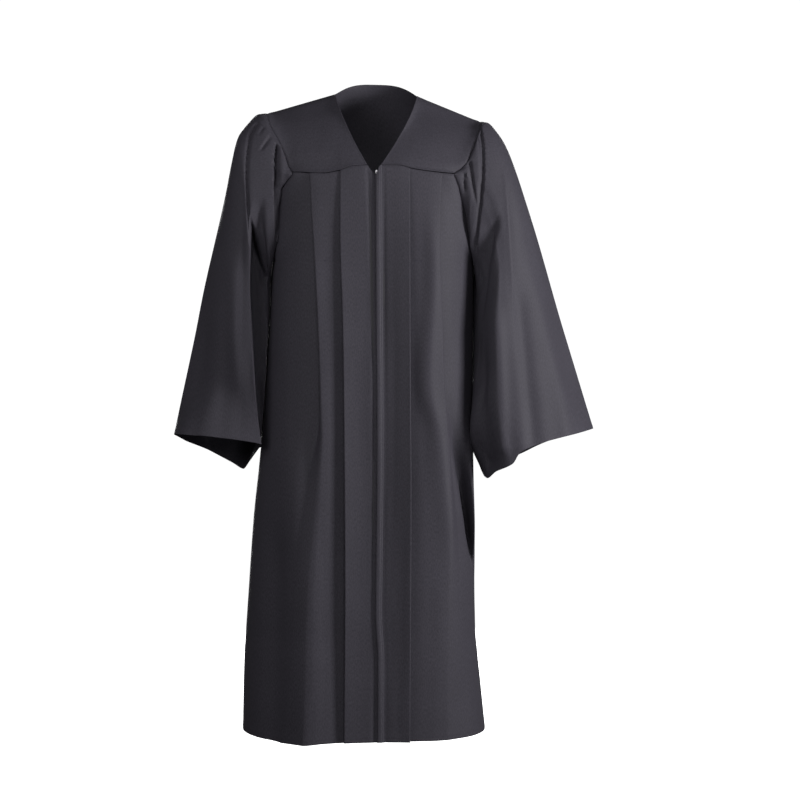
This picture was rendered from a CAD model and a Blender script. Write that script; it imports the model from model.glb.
import math

import bmesh
import bpy
import numpy as np
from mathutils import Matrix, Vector


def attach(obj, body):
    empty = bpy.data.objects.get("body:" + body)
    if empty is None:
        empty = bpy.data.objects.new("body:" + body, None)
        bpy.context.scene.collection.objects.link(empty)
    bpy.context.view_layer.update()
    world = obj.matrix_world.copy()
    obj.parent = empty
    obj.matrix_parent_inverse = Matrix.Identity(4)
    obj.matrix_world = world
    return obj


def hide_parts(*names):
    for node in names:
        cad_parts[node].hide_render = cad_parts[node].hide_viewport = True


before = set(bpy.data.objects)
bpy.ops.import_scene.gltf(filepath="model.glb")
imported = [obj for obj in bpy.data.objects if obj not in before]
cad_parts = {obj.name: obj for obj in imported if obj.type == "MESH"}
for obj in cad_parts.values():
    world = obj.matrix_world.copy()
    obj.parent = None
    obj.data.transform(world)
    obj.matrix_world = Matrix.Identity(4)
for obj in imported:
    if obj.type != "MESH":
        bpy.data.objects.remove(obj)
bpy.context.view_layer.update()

# Graduation gown, filled out as if it were worn. Metres; -Y is the front, +X the wearer's left.
# "down" is measured below the side neck points, "across" from the wearer's middle.

rightSide, leftSide = bothSides = (-1, 1)
frontFace, backFace = -1, 1
sideNames = {rightSide: "right", leftSide: "left"}

# how much finer the cloth's grids are near an edge, and over what length that wears off
fineness = {
    "centreFront": (3.0, 0.06),
    "sideSeam": (4.0, 0.02),
    "armhole": (6.0, 0.02),
    "hem": (5.0, 0.006),
    "yokeRows": (6.0, 0.02),
    "frontYoke": (6.0, 0.015),
    "backYoke": (3.0, 0.01),
    "sleeve": (3.0, 0.14),
    "fly": (4.0, 0.001),
}
fineSteps = 4001                # steps in which such a spacing is added up
noiseSize = 64                  # units after which the soft noise repeats


def table(names, *rows):
    return dict(zip(names.split(), np.array(rows, float).T))


def through(keys, values, at):
    # smooth curve through the values, which never swings past them
    keys, values = np.asarray(keys, float), np.asarray(values, float)
    at = np.clip(np.asarray(at, float), keys[0], keys[-1])
    rates = np.diff(values, axis=0) / np.diff(keys).reshape((-1,) + (1,) * (values.ndim - 1))
    before, after = rates[:-1], rates[1:]
    agree = before * after > 0
    total = np.where(agree, before + after, 1.0)
    inner = np.where(agree, 2 * before * after / total, 0.0)
    return hermite(keys, values, np.concatenate([rates[:1], inner, rates[-1:]]), at)


def flowing(keys, values, at):
    # smooth curve that may round a peak between its values
    keys, values = np.asarray(keys, float), np.asarray(values, float)
    return hermite(keys, values, np.gradient(values, keys, axis=0), np.asarray(at, float))


def hermite(keys, values, slopes, at):
    spare = (1,) * (values.ndim - 1)
    steps = np.diff(keys)
    i = np.clip(np.searchsorted(keys, at, side="right") - 1, 0, len(keys) - 2)
    t = ((at - keys[i]) / steps[i]).reshape(at.shape + spare)
    h = steps[i].reshape(at.shape + spare)
    return (
        (2 * t**3 - 3 * t**2 + 1) * values[i]
        + (t**3 - 2 * t**2 + t) * h * slopes[i]
        + (3 * t**2 - 2 * t**3) * values[i + 1]
        + (t**3 - t**2) * h * slopes[i + 1]
    )


def read(rows, name, at):
    return through(next(iter(rows.values())), rows[name], at)


def ease(t):
    t = np.clip(t, 0.0, 1.0)
    return t * t * (3 - 2 * t)


def bump(distance, width):
    return np.exp(-((distance / width) ** 2))


def softNoise(u, v, seed):
    # smooth hills and hollows between -1 and 1, one for each unit of u and v
    heights = np.random.default_rng(seed).uniform(-1, 1, (noiseSize, noiseSize))
    iu, iv = np.floor(u).astype(int), np.floor(v).astype(int)
    fu, fv = (f**3 * (f * (f * 6 - 15) + 10) for f in (u - iu, v - iv))

    def across(step):
        near, far = (heights[(iu + step) % noiseSize, (iv + k) % noiseSize] for k in (0, 1))
        return near * (1 - fv) + far * fv

    return across(0) * (1 - fu) + across(1) * fu


def ripples(u, v, layers, seed):
    # layers of soft noise: the pitch along u and v, the height, and where the pattern starts
    return sum(
        softNoise(u / pitchU + startU, v / pitchV + startV, seed + number) * height
        for number, (pitchU, pitchV, height, startU, startV) in enumerate(layers)
    )


def stops(start, end, count, fine=0.0, reach=0.01, atStart=1.0, atEnd=1.0):
    # places from start to end, closer together near the ends
    t = np.linspace(0, 1, fineSteps)
    length = abs(end - start)
    density = 1 + fine * (atStart * np.exp(-t * length / reach) + atEnd * np.exp(-(1 - t) * length / reach))
    total = np.concatenate([[0.0], np.cumsum((density[1:] + density[:-1]) / 2)])
    return start + (end - start) * np.interp(np.linspace(0, 1, count), total / total[-1], t)


# soft folds, each a line of (x, down) points as seen from the front
foldSteps = 8                   # straight runs for each step of a fold's line
foldReach = 3.2                 # widths from its line at which a fold has faded out


def fold(path, width, depth, lean=0.0, start=0.0, end=0.3):
    # a ridge has a negative depth, and start and end are the shares of its line over which it fades
    return dict(path=np.array(path, float), width=width, depth=depth, lean=lean, start=start, end=end)


def fall(path, width, depth):
    # a fold that starts softly and falls on down to the hem
    return fold(path, width, depth, start=0.3, end=0.0)


def foldDepth(folds, x, down):
    # how far the cloth is pushed in by the folds at each point
    depth = np.zeros_like(x)
    for item in folds:
        path = item["path"]
        runs = foldSteps * (len(path) - 1)
        line = flowing(np.linspace(0, 1, len(path)), path, np.linspace(0, 1, runs + 1))
        reach = foldReach * item["width"] * (1 + abs(item["lean"]))
        low, high = line.min(0) - reach, line.max(0) + reach
        near = (x > low[0]) & (x < high[0]) & (down > low[1]) & (down < high[1])
        if not near.any():
            continue
        px, pd = x[near], down[near]
        best, along, side = np.full(px.shape, np.inf), np.zeros(px.shape), np.ones(px.shape)
        for k, run in enumerate(np.diff(line, axis=0)):
            t = ((px - line[k, 0]) * run[0] + (pd - line[k, 1]) * run[1]) / (run @ run)
            t = np.clip(t, 0, 1)
            offX, offD = px - line[k, 0] - t * run[0], pd - line[k, 1] - t * run[1]
            gap = np.hypot(offX, offD)
            closer = gap < best
            best = np.where(closer, gap, best)
            along = np.where(closer, (k + t) / runs, along)
            side = np.where(closer, np.sign(offX * run[1] - offD * run[0]), side)
        shape = bump(best, item["width"] * (1 + item["lean"] * side))
        if item["start"]:
            shape = shape * ease(along / item["start"])
        if item["end"]:
            shape = shape * ease((1 - along) / item["end"])
        depth[near] += item["depth"] * shape
    return depth


# the cloth and its seams
cloth = {
    "thick": 0.0008,
    "seamGap": 0.0004,
    "sideGap": 0.0001,
    "rollWidth": 0.0022,        # how near a seam the cloth starts to turn in
    "rollDepth": 0.0010,
    "edgeThin": 0.45,           # share of the thickness left at a turned edge
    "edgeReach": 0.0006,
    "facing": 0.0004,           # extra thickness inside the neck and the V
    "facingFade": 0.002,
    "sharpAngle": 55,
}

# the body's size at each level: half its depth, half its width, and how square its outline is
body = {
    "depths": table(
        "down front back",
        (0.140, 0.1150, 0.100),
        (0.200, 0.1220, 0.107),
        (0.335, 0.1290, 0.112),
        (0.600, 0.1410, 0.122),
        (0.850, 0.1520, 0.132),
        (1.120, 0.1630, 0.142),
        (1.275, 0.1680, 0.147),
    ),
    "girths": {
        rightSide: table(
            "down width square",
            (0.335, 0.2050, 2.5),
            (0.450, 0.2110, 2.5),
            (0.600, 0.2200, 2.4),
            (0.740, 0.2325, 2.4),
            (0.850, 0.2445, 2.4),
            (1.000, 0.2550, 2.4),
            (1.060, 0.2590, 2.4),
            (1.120, 0.2625, 2.5),
            (1.275, 0.2655, 2.6),
        ),
        leftSide: table(
            "down width square",
            (0.335, 0.1940, 2.5),
            (0.450, 0.1930, 2.5),
            (0.600, 0.1930, 2.4),
            (0.740, 0.1925, 2.4),
            (0.850, 0.1938, 2.6),
            (1.000, 0.1930, 3.0),
            (1.060, 0.1945, 3.0),
            (1.120, 0.2020, 3.0),
            (1.275, 0.2180, 3.0),
        ),
    },
    "hemDown": 1.268,
    "hemDipStart": 1.0,
    "hemLine": table(
        "x down",
        (-0.266, 1.2620),
        (-0.235, 1.2685),
        (-0.200, 1.2735),
        (-0.170, 1.2770),
        (-0.140, 1.2775),
        (-0.100, 1.2740),
        (0.000, 1.2705),
        (0.120, 1.2685),
        (0.180, 1.2650),
        (0.222, 1.2600),
    ),
    "outlinePoints": 1201,
    "outlinePastMiddle": 0.2,
    "outlineStep": 0.002,
    "evenReach": 0.045,
    "evenStep": 0.002,
    "seamReach": 0.035,
}

armholes = {
    rightSide: dict(
        tipX=0.217, tipDown=0.0350, underX=0.205, underDown=0.335,
        front=0.088, back=0.080, frontScoop=0.043, backScoop=0.034,
        cornerOut=table(            # how much further out the seam lies at the front, by level
            "down out",
            (0.060, 0.0000),
            (0.099, -0.0030),
            (0.146, -0.0025),
            (0.162, -0.0075),
            (0.178, 0.0050),
            (0.196, 0.0165),
            (0.222, 0.0170),
            (0.262, 0.0080),
            (0.300, -0.0030),
            (0.335, 0.0000),
        ),
    ),
    leftSide: dict(
        tipX=0.208, tipDown=0.0515, underX=0.194, underDown=0.335,
        front=0.088, back=0.080, frontScoop=0.042, backScoop=0.034,
        cornerOut=table(
            "down out",
            (0.052, 0.0000),
            (0.064, 0.0015),
            (0.091, 0.0050),
            (0.115, 0.0085),
            (0.135, 0.0090),
            (0.154, 0.0010),
            (0.163, -0.0095),
            (0.175, -0.0030),
            (0.192, 0.0050),
            (0.237, 0.0120),
            (0.296, 0.0030),
            (0.335, 0.0000),
        ),
    ),
}

# how the armhole seam scoops in, and how its front follows the body
seamForm = {
    "scoopPower": 3.5,
    "cornerDown": 0.150,        # level from which the front of the seam lies on the body
    "cornerFade": 0.015,
    "mostDeep": 0.95,           # shares that keep the outline's roots real
    "mostAcross": 0.999,
}


def roundedShare(share, square):
    # how far a rounded oblong reaches one way, at a share of its reach the other way
    return (1 - share**square) ** (1 / square)


def armhole(side, angle):
    # the armhole seam: 0 is the shoulder tip, a quarter turn the front, half the underarm
    hole = armholes[side]
    cos, sin = np.cos(angle), np.sin(angle)
    scoop = np.where(sin > 0, hole["frontScoop"], hole["backScoop"]) * np.abs(sin) ** seamForm["scoopPower"]
    across = (hole["tipX"] + hole["underX"]) / 2 + (hole["tipX"] - hole["underX"]) / 2 * cos - scoop
    deep = np.where(sin > 0, -hole["front"], hole["back"]) * np.abs(sin)
    down = (hole["tipDown"] + hole["underDown"]) / 2 - (hole["underDown"] - hole["tipDown"]) / 2 * cos
    out = np.where(sin > 0, read(hole["cornerOut"], "out", down), 0.0)
    depth, square = read(body["depths"], "front", down), read(body["girths"][side], "square", down)
    low = np.clip((down - seamForm["cornerDown"]) / seamForm["cornerFade"], 0, 1)
    width = across / roundedShare(np.minimum(np.abs(deep) / depth, seamForm["mostDeep"]), square)
    moved = -depth * roundedShare(np.minimum((across + out) / width, seamForm["mostAcross"]), square)
    deep = deep + (moved - deep) * low * (np.abs(out) > 1e-6)
    return np.stack([side * (across + out), deep, -down], axis=-1)


def armholeTurn(side, down):
    hole = armholes[side]
    reach = (hole["underDown"] - hole["tipDown"]) / 2
    return np.arccos(np.clip(((hole["tipDown"] + hole["underDown"]) / 2 - down) / reach, -1, 1))


def armholeAt(side, face, down):
    # the seam's point at a level, on the front or the back
    turn = armholeTurn(side, down)
    return armhole(side, turn if face == frontFace else 2 * math.pi - turn)


def outlineShape(side, face, down):
    # depth, squareness and width of the body's outline at each level, and where its edge lies
    down = np.asarray(down, float)
    depth = read(body["depths"], "front" if face == frontFace else "back", down)
    square, width = (read(body["girths"][side], name, down) for name in ("square", "width"))
    edge = np.abs(armholeAt(side, face, down))
    fromHole = edge[..., 0] / roundedShare(edge[..., 1] / depth, square)
    inHole = down < armholes[side]["underDown"] - 1e-5
    return depth, square, np.where(inHole, fromHole, width), inHole, edge[..., 0]


def evenWidths(side, face):
    # the widths near the underarm are evened out, so that no crease crosses the body there
    under, reach, step = armholes[side]["underDown"], body["evenReach"], body["evenStep"]
    down = np.arange(under - 2 * reach, under + 2 * reach, step)
    weights = bump(np.arange(-reach, reach + step / 2, step), reach / 2)
    width = outlineShape(side, face, down)[2]
    even = np.convolve(width, weights / weights.sum(), "same")
    return down, (even - width) * ease(2 - 2 * np.abs(down - under) / reach)


widthChanges = {(side, face): evenWidths(side, face) for side in bothSides for face in (frontFace, backFace)}


def bodyShape(side, face, down):
    depth, square, width, inHole, edgeX = outlineShape(side, face, down)
    width = width + np.interp(down, *widthChanges[side, face], left=0.0, right=0.0)
    return depth, square, width, np.where(inHole, edgeX, width)


def hemShift(x, down):
    share = ease((down - body["hemDipStart"]) / (body["hemDown"] - body["hemDipStart"]))
    return (read(body["hemLine"], "down", x) - body["hemDown"]) * share


class Outline:
    # a quarter of the body's outline at one level, from the middle to the side seam
    def __init__(self, side, face, down):
        self.side, self.face, self.down = side, face, down
        depth, square, width, edgeX = (float(value) for value in bodyShape(side, face, down))
        angle = np.linspace(-body["outlinePastMiddle"], math.pi / 2, body["outlinePoints"])
        self.x = side * width * np.sign(angle) * np.abs(np.sin(angle)) ** (2 / square)
        self.y = face * depth * np.abs(np.cos(angle)) ** (2 / square)
        steps = np.hypot(np.diff(self.x), np.diff(self.y))
        self.around = np.concatenate([[0.0], np.cumsum(steps)])
        self.around -= np.interp(0.0, side * self.x, self.around)
        self.end = self.atAcross(edgeX) if edgeX < width - 1e-9 else self.around[-1]
        self.seam = self.toSeam()

    def atAcross(self, across):
        return np.interp(across, self.side * self.x, self.around)

    def at(self, around):
        return np.array([np.interp(around, self.around, line) for line in (self.x, self.y)])

    def toSeam(self):
        # from the end of the outline to the armhole seam; it fades out below the underarm
        under = armholes[self.side]["underDown"]
        if self.down > under + body["seamReach"]:
            return np.zeros(2)
        if self.down > under:
            share = 1 - ease((self.down - under) / body["seamReach"])
            return Outline(self.side, self.face, under).seam * share
        return armholeAt(self.side, self.face, self.down)[:2] - self.at(self.end)

    def place(self, around, inward):
        # points at distances round the outline, moved in towards the wearer
        around = np.asarray(around, float)
        alongX, alongY = self.at(around + body["outlineStep"]) - self.at(around - body["outlineStep"])
        scale = -self.side * self.face * inward / np.hypot(alongX, alongY)
        flatX, flatY = self.at(around)
        nearSeam = ease(1 - (self.end - around) / body["seamReach"])
        x = flatX - alongY * scale + nearSeam * self.seam[0]
        y = flatY + alongX * scale + nearSeam * self.seam[1]
        z = -self.down - hemShift(flatX, self.down)
        if self.face == frontFace:
            z = z - seamShift(self.side, flatX, self.down)
        return np.stack([x, y, z], axis=-1)


print("gown: lines and outlines ready")

# the neck and the yoke
yoke = {
    "neckHalf": 0.082,
    "neckBack": 0.070,
    "neckRise": 0.029,
    "neckFlat": 3,
    "vee": {
        rightSide: table(
            "down forward across",
            (-0.004, 0.0000, 0.0820),
            (0.005, 0.0180, 0.0797),
            (0.020, 0.0360, 0.0750),
            (0.045, 0.0580, 0.0657),
            (0.100, 0.0910, 0.0416),
            (0.149, 0.1165, 0.0160),
        ),
        leftSide: table(
            "down forward across",
            (0.000, 0.0000, 0.0820),
            (0.008, 0.0180, 0.0802),
            (0.022, 0.0360, 0.0765),
            (0.047, 0.0580, 0.0675),
            (0.104, 0.0910, 0.0382),
            (0.149, 0.1165, 0.0108),
        ),
    },
    "frontSeam": table(
        "across right left",
        (0.0000, 0.1672, 0.1690),
        (0.0108, 0.1553, 0.1490),
        (0.0160, 0.1490, 0.1488),
        (0.0440, 0.1505, 0.1490),
        (0.0720, 0.1590, 0.1555),
        (0.1030, 0.1640, 0.1600),
        (0.1500, 0.1610, 0.1635),
        (0.1800, 0.1600, 0.1605),
    ),
    "frontCorner": {rightSide: 0.1600, leftSide: 0.1620},
    "backSeam": 0.150,
    "armSteps": 24,             # the coarse surface that the yokes are refined from
    "columns": 14,
    "neckColumns": 13,
    "shoulderColumns": 5,
    "relax": 6,
    "backRound": 0.012,
    "frontRound": -0.003,
    "lipWidth": 0.0035,         # the turned edge that lies over the pleats
    "lipHeight": 0.0009,
    "lipTurn": (0.0004, 0.0006),        # height and width of its rounded rim
    "edgeBead": 0.0005,
    "beadAt": 0.0012,
    "beadWidth": 0.0016,
    "facings": (0.028, 0.030),  # depths of the facings inside the front and the back
    "seamCalm": 0.01,           # length from a seam over which the relief comes up
    "rollFade": 0.02,           # length from the armhole over which the shoulder seam's roll comes up
    "neckFade": 25,             # how sharply the neck's edge ends at the shoulder seams
    "relief": (                 # faint unevenness of the smooth yoke
        (0.030, 0.045, 0.0005, 0, 0),
        (0.011, 0.030, 0.00012, 0, 0),
    ),
    "frontSeed": 60,
    "backSeed": 63,
    "frontCentre": (0.0, 0.0, -0.20),       # points that each yoke faces away from
    "backCentre": (0.0, -0.05, -0.30),
    "rows": 84,
    "frontColumns": 84,
    "backColumns": (34, 90, 34),
    "frontFlat": (0.200, 0.170),
    "backFlat": (0.480, 0.190),
}


def seamShift(side, x, down):
    # how much lower than its level a point of a front lies, to follow the V edge and the yoke seam
    first, under = yoke["frontCorner"][side], armholes[side]["underDown"]
    top = read(yoke["frontSeam"], sideNames[side], np.abs(x))
    return (top - first) * (1 - ease((down - first) / (under - first)))


# cloth as a thin shell
def edgeDistance(grid):
    # how far each point of a grid lies from its four edges, measured along the cloth
    down = np.linalg.norm(np.diff(grid, axis=0), axis=-1)
    across = np.linalg.norm(np.diff(grid, axis=1), axis=-1)
    top = np.concatenate([np.zeros((1, grid.shape[1])), np.cumsum(down, axis=0)])
    first = np.concatenate([np.zeros((grid.shape[0], 1)), np.cumsum(across, axis=1)], axis=1)
    return dict(top=top, bottom=top[-1:] - top, first=first, last=first[:, -1:] - first)


def outwardNormals(grid, outward, closed=False):
    # unit normals, on the side that the outward directions show
    if closed:
        along = np.roll(grid[:, :-1], -1, axis=1) - np.roll(grid[:, :-1], 1, axis=1)
        along = np.concatenate([along, along[:, :1]], axis=1)
    else:
        along = np.gradient(grid, axis=1)
    normal = np.cross(along, np.gradient(grid, axis=0))
    normal /= np.maximum(np.linalg.norm(normal, axis=-1, keepdims=True), 1e-12)
    flipped = np.sum(normal * outward) < 0
    return (-normal if flipped else normal), flipped


def newPiece(name, data):
    piece = bpy.data.objects.new(name, data)
    bpy.context.scene.collection.objects.link(piece)
    return piece


def finishedMesh(piece):
    return bpy.data.meshes.new_from_object(piece.evaluated_get(bpy.context.evaluated_depsgraph_get()))


def makeShell(name, grid, outward, outer, inner, closed=False):
    # the two faces of the cloth, and its cut edges; a closed grid repeats its first column at the end
    normal, flipped = outwardNormals(grid, outward, closed)
    rows, columns = grid.shape[:2]
    distance = edgeDistance(grid)
    points = np.concatenate([
        (grid + normal * offset[..., None]).reshape(-1, 3) for offset in (outer, -inner)
    ])
    flat = np.stack([distance["first"], distance["top"]], axis=-1).reshape(-1, 2)
    ids = np.arange(rows * columns).reshape(rows, columns)
    a, b, c, d = (part.ravel() for part in (ids[:-1, :-1], ids[:-1, 1:], ids[1:, 1:], ids[1:, :-1]))
    under = rows * columns
    faces = [np.stack([a, b, c, d], 1), np.stack([a, d, c, b], 1) + under]
    rims = [(ids[0, 1:], ids[0, :-1]), (ids[-1, :-1], ids[-1, 1:])]
    if not closed:
        rims += [(ids[:-1, 0], ids[1:, 0]), (ids[1:, -1], ids[:-1, -1])]
    for first, second in rims:
        faces.append(np.stack([first, second, second + under, first + under], 1))
    faces = np.concatenate(faces)
    if flipped:
        faces = faces[:, ::-1]
    flatMap = np.concatenate([flat, flat])[faces.ravel()]
    if closed:
        wrap = np.arange(2 * under).reshape(2, rows, columns)
        wrap[:, :, -1] = wrap[:, :, 0]
        used, compact = np.unique(wrap.ravel(), return_inverse=True)
        points, faces = points[used], compact[faces]
    mesh = bpy.data.meshes.new(name)
    mesh.from_pydata(points.tolist(), [], faces.tolist())
    layer = mesh.uv_layers.new(name="clothMap")
    layer.data.foreach_set("uv", flatMap.astype(np.float32).ravel())
    mesh.shade_smooth()
    mesh.set_sharp_from_angle(angle=math.radians(cloth["sharpAngle"]))
    return newPiece(name, mesh)


def turnedEdge(distance):
    # share of the cloth's thickness near an edge that is turned or sewn in
    return cloth["edgeThin"] + (1 - cloth["edgeThin"]) * ease(distance / cloth["edgeReach"])


def seamRoll(distance):
    return cloth["rollDepth"] * bump(distance, cloth["rollWidth"])


def facing(distance, depth):
    return cloth["facing"] * ease((depth - distance) / cloth["facingFade"])


def drawBack(edge, inner, gap):
    way = inner - edge
    edge += way / np.linalg.norm(way, axis=-1, keepdims=True) * gap


def dress(piece, finish, replaced=None):
    # what every finished piece is told: its finish, its body, the node it stands for and its cut
    piece.data.materials.clear()
    piece.data.materials.append(finish)
    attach(piece, "root")
    if replaced:
        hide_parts(replaced)


# finishes
finishes = {
    "clothLight": (0.0340, 0.0316, 0.0400, 1.0),
    "clothDark": (0.0270, 0.0250, 0.0316, 1.0),
    "weavePitch": 0.00055,
    "weaveBump": 0.10,
    "crinkleScale": 520.0,
    "crinkleBump": 0.05,
    "cloudScale": 9.0,
    "plain": {                  # dark, light, roughness, scale of the grain; metallic, height of the grain
        "sewingThread": ((0.024, 0.022, 0.027, 1), (0.052, 0.049, 0.058, 1), 0.55, 2500),
        "zipTape": ((0.016, 0.015, 0.018, 1), (0.030, 0.028, 0.034, 1), 0.85, 1800),
        "zipCoil": ((0.022, 0.021, 0.025, 1), (0.036, 0.034, 0.040, 1), 0.38, 1500),
        "zipMetal": ((0.34, 0.33, 0.35, 1), (0.50, 0.49, 0.51, 1), 0.34, 900, 1.0, 0.00005),
    },
}
bandsPerUnit = 3.2              # bands that a wave texture of scale 1 draws in one unit


def setInputs(node, values):
    for name, value in values.items():
        node.inputs[name].default_value = value


def newNode(tree, kind, inputs=None, **settings):
    node = tree.nodes.new(kind)
    for name, value in settings.items():
        setattr(node, name, value)
    setInputs(node, inputs or {})
    return node


def joinNodes(tree, *links):
    # each link runs from a node's output to a node's input
    for source, output, target, entry in links:
        tree.links.new(source.outputs[output], target.inputs[entry])


def newMaterial(name, roughness, metallic=0.0):
    material = bpy.data.materials.new(name)
    material.use_nodes = True
    shader = material.node_tree.nodes["Principled BSDF"]
    setInputs(shader, {"Roughness": roughness, "Metallic": metallic})
    return material, material.node_tree, shader


def clothMaterial():
    material, tree, shader = newMaterial("gownCloth", 0.62)
    setInputs(shader, {"Specular IOR Level": 0.10, "Sheen Weight": 0.015, "Sheen Roughness": 0.45})
    setInputs(shader, {"Sheen Tint": (0.75, 0.72, 0.85, 1.0)})
    flat, spot = newNode(tree, "ShaderNodeUVMap", uv_map="clothMap"), newNode(tree, "ShaderNodeTexCoord")
    twill = {"Scale": 1 / finishes["weavePitch"] / bandsPerUnit, "Distortion": 1.2, "Detail": 1.0}
    weave = newNode(tree, "ShaderNodeTexWave", twill, wave_type="BANDS", bands_direction="DIAGONAL")
    # slubs and tiny creases, and a slow change of shade over a panel
    crinkle = newNode(tree, "ShaderNodeTexNoise", {"Scale": finishes["crinkleScale"], "Detail": 4.0})
    cloud = newNode(tree, "ShaderNodeTexNoise", {"Scale": finishes["cloudScale"], "Detail": 3.0})
    stretch = newNode(tree, "ShaderNodeMapping", {"Scale": (1.0, 0.35, 1.0)})
    colours = {6: finishes["clothDark"], 7: finishes["clothLight"]}
    shade = newNode(tree, "ShaderNodeMix", colours, data_type="RGBA")
    speckle = newNode(tree, "ShaderNodeMix", {0: 0.60}, data_type="RGBA", blend_type="MULTIPLY")
    contrast = {"From Min": 0.30, "From Max": 0.70, "To Min": 0.55, "To Max": 1.25}
    tone = newNode(tree, "ShaderNodeMapRange", contrast)
    rough = newNode(tree, "ShaderNodeMapRange", {"To Min": 0.54, "To Max": 0.72})
    lines = newNode(tree, "ShaderNodeBump", {"Strength": finishes["weaveBump"], "Distance": 0.00015})
    grain = newNode(tree, "ShaderNodeBump", {"Strength": finishes["crinkleBump"], "Distance": 0.0006})
    joinNodes(
        tree,
        (flat, "UV", weave, "Vector"),
        (flat, "UV", stretch, "Vector"),
        (stretch, "Vector", crinkle, "Vector"),
        (spot, "Object", cloud, "Vector"),
        (cloud, "Fac", shade, 0),
        (shade, 2, speckle, 6),
        (crinkle, "Fac", tone, "Value"),
        (tone, "Result", speckle, 7),
        (speckle, 2, shader, "Base Color"),
        (crinkle, "Fac", rough, "Value"),
        (rough, "Result", shader, "Roughness"),
        (weave, "Fac", lines, "Height"),
        (crinkle, "Fac", grain, "Height"),
        (lines, "Normal", grain, "Normal"),
        (grain, "Normal", shader, "Normal"),
    )
    return material


def plainMaterial(name, dark, light, roughness, scale, metallic=0.0, bumpHeight=0.0002):
    # a finish with a fine grain in the piece's own coordinates
    material, tree, shader = newMaterial(name, roughness, metallic)
    spot = newNode(tree, "ShaderNodeTexCoord")
    grain = newNode(tree, "ShaderNodeTexNoise", {"Scale": scale, "Detail": 3.0})
    mix = newNode(tree, "ShaderNodeMix", {6: dark, 7: light}, data_type="RGBA")
    lumps = newNode(tree, "ShaderNodeBump", {"Strength": 0.25, "Distance": bumpHeight})
    joinNodes(
        tree,
        (spot, "Object", grain, "Vector"),
        (grain, "Fac", mix, 0),
        (grain, "Fac", lumps, "Height"),
        (mix, 2, shader, "Base Color"),
        (lumps, "Normal", shader, "Normal"),
    )
    return material


gownCloth = clothMaterial()
threadFinish, tapeFinish, coilFinish, metalFinish = (
    plainMaterial(name, *values) for name, values in finishes["plain"].items()
)
print("gown: finishes ready")


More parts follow.
